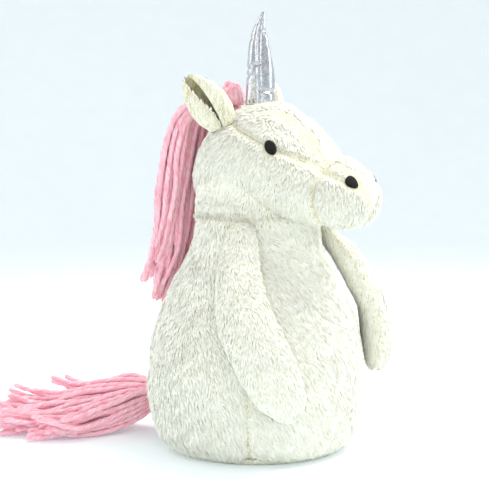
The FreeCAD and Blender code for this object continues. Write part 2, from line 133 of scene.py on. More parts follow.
def make_world(colour, strength):
    world = bpy.data.worlds.new("studio_air")
    world.use_nodes = True
    background = world.node_tree.nodes["Background"]
    background.inputs["Color"].default_value = (*colour, 1)
    background.inputs["Strength"].default_value = strength
    bpy.context.scene.world = world


make_world((0.97, 0.99, 1.0), 0.66)
bpy.context.scene.view_settings.view_transform = "Standard"

# %% [markdown]
# ## Three small tools
# Nearly every piece here is a smooth curve through a few stations, carried round or along a path.
# So the first tools are a curve through rows of a table, a soft random ripple that gives cloth its
# unevenness, and a way to put whole arrays of points into a mesh at once.


# %% A curve through stations, and a ripple
def through(stations, share):
    """Rows of a table joined by cubics. share 0 is the first row and 1 the last; the slope at
    each row is half the step from the row before it to the row after it."""
    rows = np.asarray(stations, float)
    place = np.clip(share, 0, 1) * (len(rows) - 1)
    cell = np.minimum(place.astype(int), len(rows) - 2)
    part = (place - cell)[..., None]
    ends = np.concatenate([2 * rows[:1] - rows[1:2], rows, 2 * rows[-1:] - rows[-2:-1]])
    a, b, c, d = ends[cell], ends[cell + 1], ends[cell + 2], ends[cell + 3]
    return (b + part * (c - a) / 2 + part**2 * (2 * a - 5 * b + 4 * c - d) / 2
            + part**3 * (3 * b - a - 3 * c + d) / 2)


def ripple(points, size, seed, waves=6):
    """Smooth noise of about -1 to 1: a sum of sine waves in random directions, each about size
    long, over the square root of their number."""
    rng = np.random.default_rng(seed)
    ways = rng.normal(size=(waves, 3))
    ways /= np.linalg.norm(ways, axis=1)[:, None]
    lengths = size * rng.uniform(0.7, 1.5, waves)
    phase = rng.uniform(0, 2 * np.pi, waves)
    return np.sin(points @ ways.T * (2 * np.pi / lengths) + phase).sum(-1) / np.sqrt(waves)


def lattice(rows, columns):
    """Two arrays that hold, at each row and column, the row's value and the column's value."""
    return np.meshgrid(rows, columns, indexing="ij")


def xyz(x, y, z):
    """Three arrays, or single values, spread to one shape and joined into one array of points."""
    return np.stack(np.broadcast_arrays(x, y, z), -1)


def unit(vectors):
    return vectors / np.maximum(np.linalg.norm(vectors, axis=-1, keepdims=True), 1e-12)


def dip(distance, depth, width):
    """A seam's valley: depth at the seam, fading as a bell curve of the given width."""
    return depth * np.exp(-(distance / width) ** 2)


# %% Arrays into meshes
def build(name, points, faces, materials, slots=None):
    """A mesh object from points (metres) and a list of face arrays of any side counts."""
    mesh = bpy.data.meshes.new(name)
    sides = np.concatenate([np.full(len(f), f.shape[1]) for f in faces])
    corners = np.concatenate([f.ravel() for f in faces])
    mesh.vertices.add(len(points))
    mesh.vertices.foreach_set("co", np.ascontiguousarray(points, np.float32).ravel())
    mesh.loops.add(len(corners))
    mesh.loops.foreach_set("vertex_index", corners.astype(np.int32))
    mesh.polygons.add(len(sides))
    mesh.polygons.foreach_set("loop_start", np.concatenate([[0], sides.cumsum()[:-1]]))
    mesh.polygons.foreach_set("use_smooth", np.ones(len(sides), bool))
    for material in materials:
        mesh.materials.append(material)
    if slots is not None:
        mesh.polygons.foreach_set("material_index", slots.astype(np.int32))
    mesh.update(calc_edges=True)
    mesh.validate()
    piece = bpy.data.objects.new(name, mesh)
    bpy.context.scene.collection.objects.link(piece)
    return piece


def quads(rows, columns, wrap=False):
    """The squares of a rows by columns grid of points; wrap joins the last column to the first."""
    i, j = lattice(np.arange(rows - 1), np.arange(columns if wrap else columns - 1))
    k = (j + 1) % columns
    return np.stack([i * columns + j, i * columns + k, (i + 1) * columns + k,
                     (i + 1) * columns + j], -1).reshape(-1, 4)


POINT_SIZE = 0.05
THINNEST = 0.4


def grid_normals(grid, outward=None):
    """At each grid point, the cross product of the steps along its row and its column. If
    outward is given, all are turned to the side that it names. A first or last row that meets in
    one point takes the mean of the row beside it."""
    down, across = np.gradient(grid, axis=0), np.gradient(grid, axis=1)
    normal = unit(np.cross(across, down))
    for end, beside in ((0, 1), (-1, -2)):
        if np.ptp(grid[end], axis=0).max() < POINT_SIZE:
            normal[end] = unit(normal[beside].mean(0))
    if outward is not None:
        turned = np.where((normal * outward).sum(-1, keepdims=True) < 0, -1.0, 1.0)
        normal = normal * np.sign(turned.sum())
    return normal


def weld(piece, distance=1e-6):
    """Merge the points that meet at poles and seams, so that the shell is closed."""
    mesh = bmesh.new()
    mesh.from_mesh(piece.data)
    bmesh.ops.remove_doubles(mesh, verts=mesh.verts, dist=distance)
    bmesh.ops.dissolve_degenerate(mesh, edges=mesh.edges, dist=distance)
    bmesh.ops.recalc_face_normals(mesh, faces=mesh.faces)
    mesh.to_mesh(piece.data)
    mesh.free()
    return piece


def shell(name, grid, normals, thick, material, pointed=False):
    """A sewn panel: the grid, a second grid thick behind it, and a strip along all four edges. A
    pointed one thins towards its tips, to two fifths of the way to the middle of each row."""
    rows, columns = grid.shape[:2]
    if pointed:
        room = np.linalg.norm(grid - grid.mean(1, keepdims=True), axis=-1, keepdims=True)
        thick = np.minimum(thick, THINNEST * room)
    count = rows * columns
    inner = grid - normals * thick
    ids = np.arange(count).reshape(rows, columns)
    edge = np.concatenate([ids[0], ids[1:, -1], ids[-1, -2::-1], ids[-2:0:-1, 0]])
    following = np.roll(edge, -1)
    strip = np.stack([edge, following, following + count, edge + count], -1)
    faces = quads(rows, columns)
    points = np.concatenate([grid.reshape(-1, 3), inner.reshape(-1, 3)])
    piece = build(name, points * mm, [faces, faces[:, ::-1] + count, strip], [material])
    return weld(piece)


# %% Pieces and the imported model
def carry(piece, body, slot, *nodes):
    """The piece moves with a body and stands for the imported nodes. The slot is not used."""
    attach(piece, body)
    if nodes:
        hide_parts(*nodes)
    return piece


# %% [markdown]
# ## Cloth colours and the brushed pile
# Plush has a knitted back with a dense pile, brushed so that it lies in small locks. Under the pile
# the cloth is painted a little darker and yellower than the tufts, a painted shade that shows in
# the seams and between the tufts. Two things make the look here: the cloth's own material, streaked
# along the way the pile lies, and real tufts on top in five close tints, so that light catches each
# lock by itself.


# %% Node tools
def nodes_of(name):
    """A new material with its tree and its shader."""
    material = bpy.data.materials.new(name)
    material.use_nodes = True
    return material, material.node_tree, material.node_tree.nodes["Principled BSDF"]


def give(node, **values):
    """Set a node's inputs by name, with an underscore for each space in a name."""
    for name, value in values.items():
        node.inputs[name.replace("_", " ")].default_value = value


def add_node(tree, kind, **settings):
    """A new node of a tree, with its own settings, such as the operation that it does."""
    node = tree.nodes.new("ShaderNode" + kind)
    for name, value in settings.items():
        setattr(node, name, value)
    return node


def plain(name, colour, rough, sheen):
    """A material that is one tint all over, for tufts and fuzz a fraction of a millimetre wide."""
    material, tree, shader = nodes_of(name)
    give(shader, Base_Color=(*colour, 1), Roughness=rough, Sheen_Weight=sheen,
         Sheen_Roughness=0.5, Specular_IOR_Level=0.25)
    return material


def linear(red, green, blue):
    """A display colour of 0 to 255 as the linear colour a shader wants."""
    value = np.array([red, green, blue]) / 255
    return tuple(float(v) for v in np.where(value <= 0.04045, value / 12.92,
                                            ((value + 0.055) / 1.055) ** 2.4))


def make_fibre_group():
    """A group for every fibrous finish. Noise is drawn out along one way by its Stretch input
    and mixed with a coarser noise, to give a colour between two, a height and a roughness."""
    group = bpy.data.node_groups.new("fibre_streaks", "ShaderNodeTree")
    face = group.interface
    face.new_socket("Vector", in_out="INPUT", socket_type="NodeSocketVector")
    face.new_socket("Stretch", in_out="INPUT", socket_type="NodeSocketVector")
    face.new_socket("Light", in_out="INPUT", socket_type="NodeSocketColor")
    face.new_socket("Dark", in_out="INPUT", socket_type="NodeSocketColor")
    face.new_socket("Color", in_out="OUTPUT", socket_type="NodeSocketColor")
    face.new_socket("Height", in_out="OUTPUT", socket_type="NodeSocketFloat")
    face.new_socket("Roughness", in_out="OUTPUT", socket_type="NodeSocketFloat")
    link = group.links.new
    given, made = group.nodes.new("NodeGroupInput"), group.nodes.new("NodeGroupOutput")
    scale = add_node(group, "VectorMath", operation="MULTIPLY")
    link(given.outputs["Vector"], scale.inputs[0])
    link(given.outputs["Stretch"], scale.inputs[1])
    fine, broad = add_node(group, "TexNoise"), add_node(group, "TexNoise")
    give(fine, Scale=1.0, Detail=3.0)
    give(broad, Scale=0.17)
    for noise in (fine, broad):
        link(scale.outputs[0], noise.inputs["Vector"])
    blend = add_node(group, "Math", operation="MULTIPLY_ADD")
    blend.inputs[1].default_value = 0.35
    link(broad.outputs["Fac"], blend.inputs[0])
    link(fine.outputs["Fac"], blend.inputs[2])
    level = add_node(group, "MapRange")
    give(level, From_Min=0.48, From_Max=0.88)
    link(blend.outputs[0], level.inputs["Value"])
    tint = add_node(group, "Mix", data_type="RGBA")
    link(level.outputs["Result"], tint.inputs["Factor"])
    link(given.outputs["Dark"], tint.inputs["A"])
    link(given.outputs["Light"], tint.inputs["B"])
    rough = add_node(group, "MapRange")
    give(rough, To_Min=0.95, To_Max=0.72)
    link(level.outputs["Result"], rough.inputs["Value"])
    link(tint.outputs["Result"], made.inputs["Color"])
    link(level.outputs["Result"], made.inputs["Height"])
    link(rough.outputs["Result"], made.inputs["Roughness"])
    return group


fibre_group = make_fibre_group()


def fibre(name, light, dark, stretch, relief, sheen=0.3, source=None):
    """A cloth or yarn made of fibres: light and dark are display colours, stretch is how many
    streaks to a metre each way, and relief is their height in millimetres. The streaks follow
    the object's own coordinates, or a vector attribute of the mesh named by source."""
    material, tree, shader = nodes_of(name)
    link = tree.links.new
    streaks = add_node(tree, "Group", node_tree=fibre_group)
    give(streaks, Light=(*linear(*light), 1), Dark=(*linear(*dark), 1), Stretch=stretch)
    if source is None:
        link(add_node(tree, "TexCoord").outputs["Object"], streaks.inputs["Vector"])
    else:
        lay = add_node(tree, "Attribute", attribute_name=source)
        link(lay.outputs["Vector"], streaks.inputs["Vector"])
    bump = add_node(tree, "Bump")
    give(bump, Strength=0.6, Distance=relief * mm)
    link(streaks.outputs["Height"], bump.inputs["Height"])
    link(streaks.outputs["Color"], shader.inputs["Base Color"])
    link(streaks.outputs["Roughness"], shader.inputs["Roughness"])
    link(bump.outputs["Normal"], shader.inputs["Normal"])
    give(shader, Sheen_Weight=sheen, Sheen_Roughness=0.45, Specular_IOR_Level=0.25)
    return material


# %% Plush materials
CREAM_TINTS = [(232, 228, 206), (240, 237, 219), (246, 244, 229), (250, 249, 237), (253, 252, 243)]
pile_tints = [plain(f"cream_pile_{n}", linear(*tint), 0.85, sheen=0.25)
              for n, tint in enumerate(CREAM_TINTS)]
# Partly the cloth's own colour, partly painted shade: its dark colour is the shadow between the
# tufts and in the seams.
plush_cloth_painted_shade = fibre("plush_cloth_painted_shade", (244, 241, 222), (206, 198, 163), (620, 620, 110), 0.5)
print("plush materials", len(pile_tints) + 1)


# %% Tufts over a grid
def scatter(grid, normals, per_mm2, seed):
    """Points spread over a grid. Squares are chosen in even steps of their summed area, and each
    point gets a random place inside its square."""
    a, b, c, d = grid[:-1, :-1], grid[:-1, 1:], grid[1:, 1:], grid[1:, :-1]
    area = (np.linalg.norm(np.cross(b - a, d - a), axis=-1)
            + np.linalg.norm(np.cross(b - c, d - c), axis=-1)).ravel() / 2
    edges = area.cumsum()
    rng = np.random.default_rng(seed)
    count = int(edges[-1] * per_mm2)
    steps = (np.arange(count) + rng.random(count)) / count * edges[-1]
    pick = np.minimum(np.searchsorted(edges, steps), len(edges) - 1)
    s, t = rng.random((2, count, 1))

    def blend(field):
        corners = [part.reshape(-1, 3)[pick] for part in
                   (field[:-1, :-1], field[:-1, 1:], field[1:, 1:], field[1:, :-1])]
        return ((1 - s) * (1 - t) * corners[0] + (1 - s) * t * corners[1]
                + s * t * corners[2] + s * (1 - t) * corners[3])

    return blend(grid), unit(blend(normals))


FLOOR_GAP = 0.1


def spindles(name, roots, ups, ways, long, half, rise, tints, materials):
    """Tufts as five-point spindles: a root, a ring of three at two fifths of the length, and a
    tip that bends back towards the cloth. Normals are set near the cloth's own, which makes the
    tufts shade as one soft surface. No point goes below the floor."""
    sides = np.cross(ups, ways)
    long, half, rise = long[:, None], half[:, None], rise[:, None]
    middle = roots + ways * long * 0.42 + ups * long * rise * 0.62
    tip = roots + ways * long + ups * long * rise
    ring = [middle + sides * half, middle + ups * half * 0.7, middle - sides * half]
    points = np.stack([roots, *ring, tip], 1).reshape(-1, 3)
    points[:, 2] = np.maximum(points[:, 2], FLOOR_GAP)
    normals = np.stack([ups, unit(ups + 0.5 * sides), unit(ups - 0.1 * ways),
                        unit(ups - 0.5 * sides), unit(ups + 0.25 * ways)], 1).reshape(-1, 3)
    start = np.arange(len(roots))[:, None] * 5
    triangles = np.array([[0, 1, 2], [0, 2, 3], [0, 3, 1], [4, 2, 1], [4, 3, 2], [4, 1, 3]])
    faces = (start[:, None] + triangles[None]).reshape(-1, 3)
    piece = build(name, points * mm, [faces[:, ::-1]], materials, np.repeat(tints, 6))
    piece.data.normals_split_custom_set_from_vertices(normals.tolist())
    return piece


PILE_PER_MM2 = 1.3
LEAST_LIE = 0.4
TUFT_HALF_WIDTH = 0.44
ROOT_DEPTH = 0.4
CLOTH_THICK = 1.3


def pile(name, grid, normals, lie, seed, long=6.4, rise=0.17, clear=None, short=None):
    """Brushed pile over a panel. The way each tuft lies is the nap pressed flat on the cloth,
    turned by a ripple 14 mm long, and its rise and tint follow ripples of their own. Where the
    cloth faces the way the nap runs, as at the tip of an arm, there is no tuft."""
    roots, ups = scatter(grid, normals, PILE_PER_MM2, seed)
    if clear is not None:
        kept = clear(roots)
        roots, ups = roots[kept], ups[kept]
    rng = np.random.default_rng(seed + 100)
    ways = lie(roots)
    ways = ways - ups * (ways * ups).sum(-1, keepdims=True)
    flat = np.linalg.norm(ways, axis=1) > LEAST_LIE
    roots, ups, ways = roots[flat], ups[flat], unit(ways[flat])
    count = len(roots)
    sides = np.cross(ups, ways)
    swing = 0.24 * ripple(roots, 14, seed + 1) + 0.12 * rng.normal(size=count)
    ways = ways * np.cos(swing)[:, None] + sides * np.sin(swing)[:, None]
    lift = rise * (1 + 0.25 * ripple(roots, 7, seed + 2)) + 0.05 * rng.normal(size=count)
    reach = long * rng.uniform(0.7, 1.2, count)
    if short is not None:
        reach *= 1 - 0.6 * short(roots)
    half = TUFT_HALF_WIDTH * rng.uniform(0.7, 1.35, count)
    tone = 2.2 + 0.3 * ripple(roots, 9, seed + 3) + 0.8 * rng.normal(size=count)
    tints = np.clip(tone.round(), 0, len(pile_tints) - 1)
    return spindles(name, roots - ups * ROOT_DEPTH, ups, ways, reach, half,
                    np.clip(lift, 0.05, 0.6), tints, pile_tints)


def plush_panel(node, grid, outward, body, lie, seed, pointed=False, **options):
    """One sewn panel with its pile. Both ride on the body, and the cloth stands for the node."""
    normals = grid_normals(grid, outward)
    cloth = shell(node + "_cloth", grid, normals, CLOTH_THICK, plush_cloth_painted_shade, pointed)
    tufts = pile(node + "_pile", grid, normals, lie, seed, **options)
    carry(cloth, body, "plush", node)
    carry(tufts, body, "plush")
    print(node, "tufts", len(tufts.data.vertices) // 5)


# %% [markdown]
# ## The body
# A pear of four panels on a round base. Its outline is a curve through the radii that the packed
# sections have, carried on over the top as the low dome that the head sits on. Each seam pulls
# the cloth in, so the panels swell a little between them, and the pile closes over the valley.

# %% Body surface
PEAR = [(4.2, 63.5), (7, 66.5), (14, 71), (27, 74), (45, 75.5), (70, 73.5), (95, 66), (120, 55.5),
        (141, 46.5), (162, 42.5), (168, 37), (174, 30)]
BODY_SEAMS = np.radians([60, 135, 225, 300])
BODY_INSET = 1.6
DOWN = np.array([0.0, 0.0, -1.0])


def body_radius(height):
    """The outline's radius at a height, read off the curve through its stations."""
    line = through(PEAR, np.linspace(0, 1, 300))
    return np.interp(height, line[:, 0], line[:, 1])


def body_surface(turn, share):
    """Round every height: the outline's radius less each seam's valley, with broad lumps from the
    filling and small puckers where the cloth is gathered to the base. The inset leaves room for
    the pile."""
    height, radius = np.moveaxis(through(PEAR, share), -1, 0)
    points = xyz(radius * np.sin(turn), -radius * np.cos(turn), height)
    gap = (turn[..., None] - BODY_SEAMS + np.pi) % (2 * np.pi) - np.pi
    swell = -BODY_INSET - dip(gap * radius[..., None], 1.6, 2.8).sum(-1)
    swell += 0.9 * ripple(points, 70, 3) + 0.35 * ripple(points, 24, 4)
    swell += 0.5 * np.sin(turn * 46 + np.sin(turn * 7)) * np.exp(-(height - 3) / 7)
    return points + xyz(np.sin(turn), -np.cos(turn), 0) * swell[..., None]


def body_lie(points):
    """The pile lies downwards, and on the front it sweeps to the toy's left as well."""
    front = np.clip(-points[:, 1] / 60 - points[:, 0] / 90, 0, 1)
    sweep = np.array([0.5, -0.75, 0.0]) * front[:, None] * 0.75
    return DOWN + sweep


def near_body_seam(points):
    """1 on a seam, falling to nothing a few millimetres away: the pile is shorter there."""
    turn = np.arctan2(points[:, 0], -points[:, 1])
    gap = (turn[:, None] - BODY_SEAMS + np.pi) % (2 * np.pi) - np.pi
    radius = np.linalg.norm(points[:, :2], axis=1)
    near = np.exp(-(gap * radius[:, None] / 3.5) ** 2).sum(-1)
    near += np.exp(-((points[:, 2] - 161) / 3) ** 2) + np.exp(-((points[:, 2] - 3) / 3) ** 2)
    return np.clip(near, 0, 1)


BODY_PANELS = {"front": (-60, 60), "left": (60, 135), "back": (135, 225), "right": (225, 300)}
for number, (side, (first, last)) in enumerate(BODY_PANELS.items()):
    turn, share = np.meshgrid(np.radians(np.linspace(first, last, last - first)),
                              np.linspace(0, 1, 84))
    grid = body_surface(turn, share)
    plush_panel(f"body_{side}_panel", grid, grid * (1, 1, 0), "body", body_lie,
                seed=10 + number, short=near_body_seam)

# %% Base panel
BASE_RIM = 62.6
angle, out = np.meshgrid(np.linspace(0, 2 * np.pi, 181), np.linspace(0, 1, 40))
rim = BASE_RIM * np.sin(out * np.pi / 2)
rise = 0.4 + 3.4 * np.clip((rim - 55) / 7.6, 0, 1) ** 3
grid = xyz(rim * np.cos(angle), rim * np.sin(angle), rise)
grid[..., 2] += 0.3 * np.abs(ripple(grid, 30, 8)) * (rim < 54)
base_cloth = shell("base_panel_cloth", grid, grid_normals(grid, grid * 0 + DOWN), 2.0, plush_cloth_painted_shade)
carry(base_cloth, "body", "plush", "base_panel")
base_edge = grid[28:]
edge_normals = grid_normals(base_edge, base_edge * (1, 1, 0) + DOWN)
base_pile = pile("base_panel_pile", base_edge, edge_normals, lambda points: points * (1, 1, 0),
                 seed=19, long=3.0, rise=0.1)
carry(base_pile, "body", "plush")
print("base edge tufts", len(base_pile.data.vertices) // 5)

# %% [markdown]
# ## The head
# A horse's head from six panels: a crown that runs down the nose to the muzzle seam, a small
# bridge over the nose, two cheeks and two muzzle sides. All six are cut from one smooth form, an
# oval at each place from back to front, and two flat seam planes say where each panel ends. So
# neighbours share an edge exactly, and the valley beside each seam is the same on both.

# %% Head form and seams
HEAD = [(-42.5, 188, 186, 0.4), (-41, 197, 177, 10), (-36, 211, 165, 24), (-27, 223, 161, 33),
        (-12, 234, 159.5, 41), (8, 238.5, 158.5, 43.5), (28, 234.5, 157.5, 42),
        (46, 220, 155.5, 36.5), (60, 205.5, 154, 31.5), (72, 201.5, 153.5, 30.5),
        (82.5, 196, 156, 25), (88.7, 189.5, 161.5, 16.5), (91.3, 182, 168, 7.8),
        (92, 175.4, 174.6, 0.3)]
HEAD_INSET = 1.3
CROWN_BACK = -13.5
CROWN_HEIGHT, CROWN_SLOPE = 226.0, 0.466
MUZZLE_PLACE, MUZZLE_SLOPE, MUZZLE_MIDDLE = 64.0, 0.14, 180.0
head_line = through(HEAD, np.linspace(0, 1, 600))


def head_oval(ahead):
    """Middle height, half height and half width of the head's oval at a place ahead."""
    top, bottom, wide = (np.interp(ahead, head_line[:, 0], head_line[:, n]) for n in (1, 2, 3))
    return (top + bottom) / 2, (top - bottom) / 2, wide


def head_smooth(ahead, turn):
    """The plain oval form, without seams or lumps."""
    middle, half, wide = head_oval(ahead)
    return xyz(wide * np.cos(turn), -ahead, middle + half * np.sin(turn))


def seam_distances(points):
    """Distance from the crown seam, the muzzle seam and the middle seam, in that order."""
    ahead, side, height = -points[..., 1], points[..., 0], points[..., 2]
    crown = np.abs(height - CROWN_HEIGHT + CROWN_SLOPE * ahead) / np.hypot(1, CROWN_SLOPE)
    crown = crown + np.clip(CROWN_BACK - ahead, 0, 99)
    muzzle = np.abs(ahead - MUZZLE_PLACE - MUZZLE_SLOPE * (height - MUZZLE_MIDDLE))
    below = height < CROWN_HEIGHT - CROWN_SLOPE * ahead - 2
    middle = np.where(below | (ahead < CROWN_BACK), np.abs(side), 99.0)
    return crown, muzzle, middle


SKIRT_TOP, SKIRT_DEPTH = 192, 20
NECK_SEAM_HEIGHT, NECK_RADIUS = 160.5, 41.6


def neck_skirt(points):
    """Low on the head, a point nearer the neck's axis than the neck's radius moves out to that
    radius, more the lower it is. So the head comes straight down onto the body all round."""
    radius = np.linalg.norm(points[..., :2], axis=-1)
    height = points[..., 2]
    low = np.clip((SKIRT_TOP - height) / SKIRT_DEPTH, 0, 1)
    wanted = np.where(height > NECK_SEAM_HEIGHT, NECK_RADIUS - 0.02 * (height - NECK_HEIGHT),
                      body_radius(height) - 2.8)
    push = np.maximum(wanted - radius, 0) * low * low * (3 - 2 * low)
    out = points * (1, 1, 0) / np.maximum(radius, 0.5)[..., None]
    return points + out * push[..., None]


def head_surface(ahead, turn):
    """The smooth form, drawn in at every seam and given soft lumps by its filling."""
    points = head_smooth(ahead, turn)
    half, wide = head_oval(ahead)[1:]
    out = xyz(np.cos(turn) / np.maximum(wide, 4), 0, np.sin(turn) / np.maximum(half, 4))
    crown, muzzle, centre = seam_distances(points)
    swell = -HEAD_INSET - dip(crown, 1.7, 2.6) - dip(muzzle, 2.6, 3.2) - dip(centre, 0.8, 3.0)
    swell = swell + 0.7 * ripple(points, 45, 21) + 0.25 * ripple(points, 18, 22)
    edge = np.clip(half / 8, 0, 1)
    return neck_skirt(points + unit(out) * (swell * edge)[..., None])


def crown_turn(ahead):
    """The angle round the oval at which the crown seam crosses it, on the left side."""
    middle, half = head_oval(ahead)[:2]
    level = (CROWN_HEIGHT - CROWN_SLOPE * ahead - middle) / np.maximum(half, 0.01)
    return np.arcsin(np.clip(level, -1, 1))


def muzzle_ahead(turn):
    """How far ahead the muzzle seam lies at an angle round the oval."""
    middle, half = head_oval(MUZZLE_PLACE)[:2]
    return MUZZLE_PLACE + MUZZLE_SLOPE * (middle + half * np.sin(turn) - MUZZLE_MIDDLE)


# %% Head panels
HEAD_BACK, HEAD_FRONT = HEAD[0][0], HEAD[-1][0]


def head_panel(first_place, last_place, start, end, rows, columns):
    """Rows run from one place ahead to another, columns from angle start to angle end. Both ends
    of each follow the seams, so a place and an angle are settled in two passes."""
    along, around = lattice(np.linspace(0, 1, rows), np.linspace(0, 1, columns))
    along = np.sin((along - 0.5) * np.pi) / 2 + 0.5
    ahead = HEAD_BACK + along * (HEAD_FRONT - HEAD_BACK)
    for step in range(3):
        turn = start(ahead) + around * (end(ahead) - start(ahead))
        ahead = first_place(turn) + along * (last_place(turn) - first_place(turn))
    turn = start(ahead) + around * (end(ahead) - start(ahead))
    return head_surface(ahead, turn)


def at(value):
    return lambda other: value + 0 * other


right_seam, left_seam = (lambda f: np.pi - crown_turn(f)), crown_turn
head_panels = {
    "crown_panel": head_panel(at(CROWN_BACK), muzzle_ahead, left_seam, right_seam, 76, 66),
    "nose_bridge_panel": head_panel(muzzle_ahead, at(HEAD_FRONT), left_seam, right_seam, 44, 52),
    "right_cheek_panel": head_panel(at(HEAD_BACK), muzzle_ahead, right_seam, at(1.5 * np.pi),
                                    92, 74),
    "left_cheek_panel": head_panel(at(HEAD_BACK), muzzle_ahead, left_seam, at(-0.5 * np.pi),
                                   92, 74),
    "right_muzzle_panel": head_panel(muzzle_ahead, at(HEAD_FRONT), right_seam, at(1.5 * np.pi),
                                     50, 58),
    "left_muzzle_panel": head_panel(muzzle_ahead, at(HEAD_FRONT), left_seam, at(-0.5 * np.pi),
                                    50, 58),
}
HEAD_CORE = np.array([0.0, -20.0, 190.0])


def head_lie(points):
    """On the sides the pile lies down and a little back; on top it lies back from the nose."""
    side = np.clip(np.abs(points[:, 0]) / 22, 0, 1)[:, None]
    return side * np.array([0.0, 0.25, -1.0]) + (1 - side) * np.array([0.0, 1.0, -0.15])


def near_head_seam(points):
    near = sum(np.exp(-(gap / 3.0) ** 2) for gap in seam_distances(points))
    return np.clip(1.3 * near, 0, 1.3)


# %% Eyes and nostrils have no pile under them
def turn_at(ahead, height, side):
    """The angle round the oval at which a height lies, on the side given by its sign."""
    middle, half = head_oval(ahead)[:2]
    turn = np.arcsin((height - middle) / half)
    return turn if side > 0 else np.pi - turn


STITCHED = {}
for side, sign in (("right", -1), ("left", 1)):
    STITCHED[f"{side}_eye_stitching"] = (36, turn_at(36, 208.8, sign), 4.0, 4.6, 0)
    ahead = 86 if side == "right" else 79
    STITCHED[f"{side}_nostril_stitching"] = (ahead, turn_at(ahead, 186.8, sign), 2.9, 4.6,
                                             0.3 * sign)


def clear_of_stitching(points):
    clear = np.ones(len(points), bool)
    for ahead, turn, wide, high, lean in STITCHED.values():
        centre = head_smooth(np.array(ahead), np.array(turn))
        clear &= np.linalg.norm(points - centre, axis=1) > max(wide, high) + 0.3
    return clear


for number, (node, grid) in enumerate(head_panels.items()):
    plush_panel(node, grid, grid - HEAD_CORE, "head", head_lie, seed=30 + number, long=5.2,
                rise=0.2, clear=clear_of_stitching, short=near_head_seam)

# %% [markdown]
# ## Arms
# Each arm is two leaf-shaped panels sewn edge to edge and lightly filled, so its section is a
# lens with a pinched edge all round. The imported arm's stations give the line it hangs along and
# its half sizes; the section is carried down that line and closed at both ends.

# %% Arm surface
RIGHT_ARM = [(66.5, 159, 8, 2.5, 0), (66.3, 146, 11, 5.5, 0), (66, 134, 13, 8, 0),
             (64, 117, 15.5, 10, 0), (60, 98, 18, 11, 0), (54, 80, 18.5, 11.5, 0),
             (48.5, 63, 18, 11, 0), (43, 47, 14.5, 9, 0), (41, 35, 7, 5, 0)]
LEFT_ARM = [(51, 157, 8, 2.5, 0), (49, 144, 10.5, 5.5, 1), (46, 133, 12.5, 8, 3),
            (44, 117, 14.5, 9.5, 4.5), (43, 100, 16, 10.5, 4), (42, 84, 17, 11, 1.5),
            (42, 68, 15, 10, 0), (42, 52, 7, 5, 0)]
ARM_STANDOFF = 2.0


def arm_line(stations, sign, share):
    """The arm's middle line and its frame. The line stands off the body by the arm's own half
    thickness, its thick way points straight out from the body and its wide way lies across."""
    turn, height, wide, thick, bow = np.moveaxis(through(stations, share), -1, 0)
    turn = np.radians(turn)
    reach = body_radius(height) + ARM_STANDOFF + thick + bow
    line = xyz(sign * reach * np.sin(turn), -reach * np.cos(turn), height)
    along = unit(np.gradient(line, axis=0))
    out = unit(line * (1, 1, 0))
    across = unit(np.cross(along, out))
    return line, across, np.cross(across, along), wide, thick


def arm_surface(stations, sign, share, angle):
    """An ellipse at each place, its sharp ends drawn in to a seam ridge. Both ends of the arm
    close as a quarter circle over the last 5 percent."""
    line, across, out, wide, thick = arm_line(stations, sign, share[:, 0])
    away = np.minimum(share[:, 0] / 0.05, (1 - share[:, 0]) / 0.05)
    closing = np.sqrt(np.clip(1 - (1 - np.clip(away, 0, 1)) ** 2, 0, 1))[:, None, None]
    out = out * np.sign((out * line * (1, 1, 0)).sum(-1, keepdims=True))
    lens = np.sin(angle) * (1 - 0.35 * np.abs(np.cos(angle)) ** 6)
    points = (line[:, None] + closing * (
        across[:, None] * (wide[:, None] * np.cos(angle))[..., None]
        + out[:, None] * (thick[:, None] * lens)[..., None]))
    lumps = 0.6 * ripple(points, 40, 41) + 0.25 * ripple(points, 16, 42)
    return points + out[:, None] * (lumps * np.sin(angle))[..., None] * closing


def arm_lie(points):
    return DOWN + 0.25 * unit(np.array([0.35, -0.9, 0.0]))


for number, (side, stations, sign) in enumerate((("right", RIGHT_ARM, -1), ("left", LEFT_ARM, 1))):
    for half, (face, first) in enumerate((("outer", 0), ("inner", np.pi))):
        share, angle = lattice(0.5 - 0.5 * np.cos(np.linspace(0, np.pi, 92)),
                               np.linspace(first, first + np.pi, 46))
        grid = arm_surface(stations, sign, share, angle)
        outward = grid - arm_line(stations, sign, share[:, 0])[0][:, None]
        edges = np.concatenate([grid[:, 0], grid[:, -1]])[::4]

        def near_arm_seam(points, edges=edges):
            gaps = np.linalg.norm(points[:, None] - edges[None], axis=-1).min(1)
            return np.exp(-(gaps / 3) ** 2)

        plush_panel(f"{side}_arm_{face}_panel", grid, outward, f"{side}_arm", arm_lie,
                    seed=50 + number * 4 + half, pointed=True, long=5.0,
                    rise=0.17, short=near_arm_seam)

# %% [markdown]
# ## Ears
# A leaf of plush with a smooth lining, folded along its middle so that its two long edges meet
# at the foot and part towards the tip. Across the leaf the section is an open ellipse whose gap
# faces outwards; the plush is the outer layer and the lining the inner one.

# %% Ear surface
EAR = [(31.5, -6, 221.5, 9, 4.2), (34.5, -8, 228.5, 12.4, 5.8), (38.5, -12.5, 237, 13.6, 6),
       (42.5, -17.5, 244.5, 11.4, 5.2), (45.5, -22, 250.5, 7.2, 3.8), (47, -24.5, 253.8, 3, 1.7)]
EAR_FACE = np.array([0.8, -0.45, 0.1])
ear_lining = fibre("ear_lining_cloth", (196, 188, 150), (150, 138, 98), (700, 700, 300), 0.2)


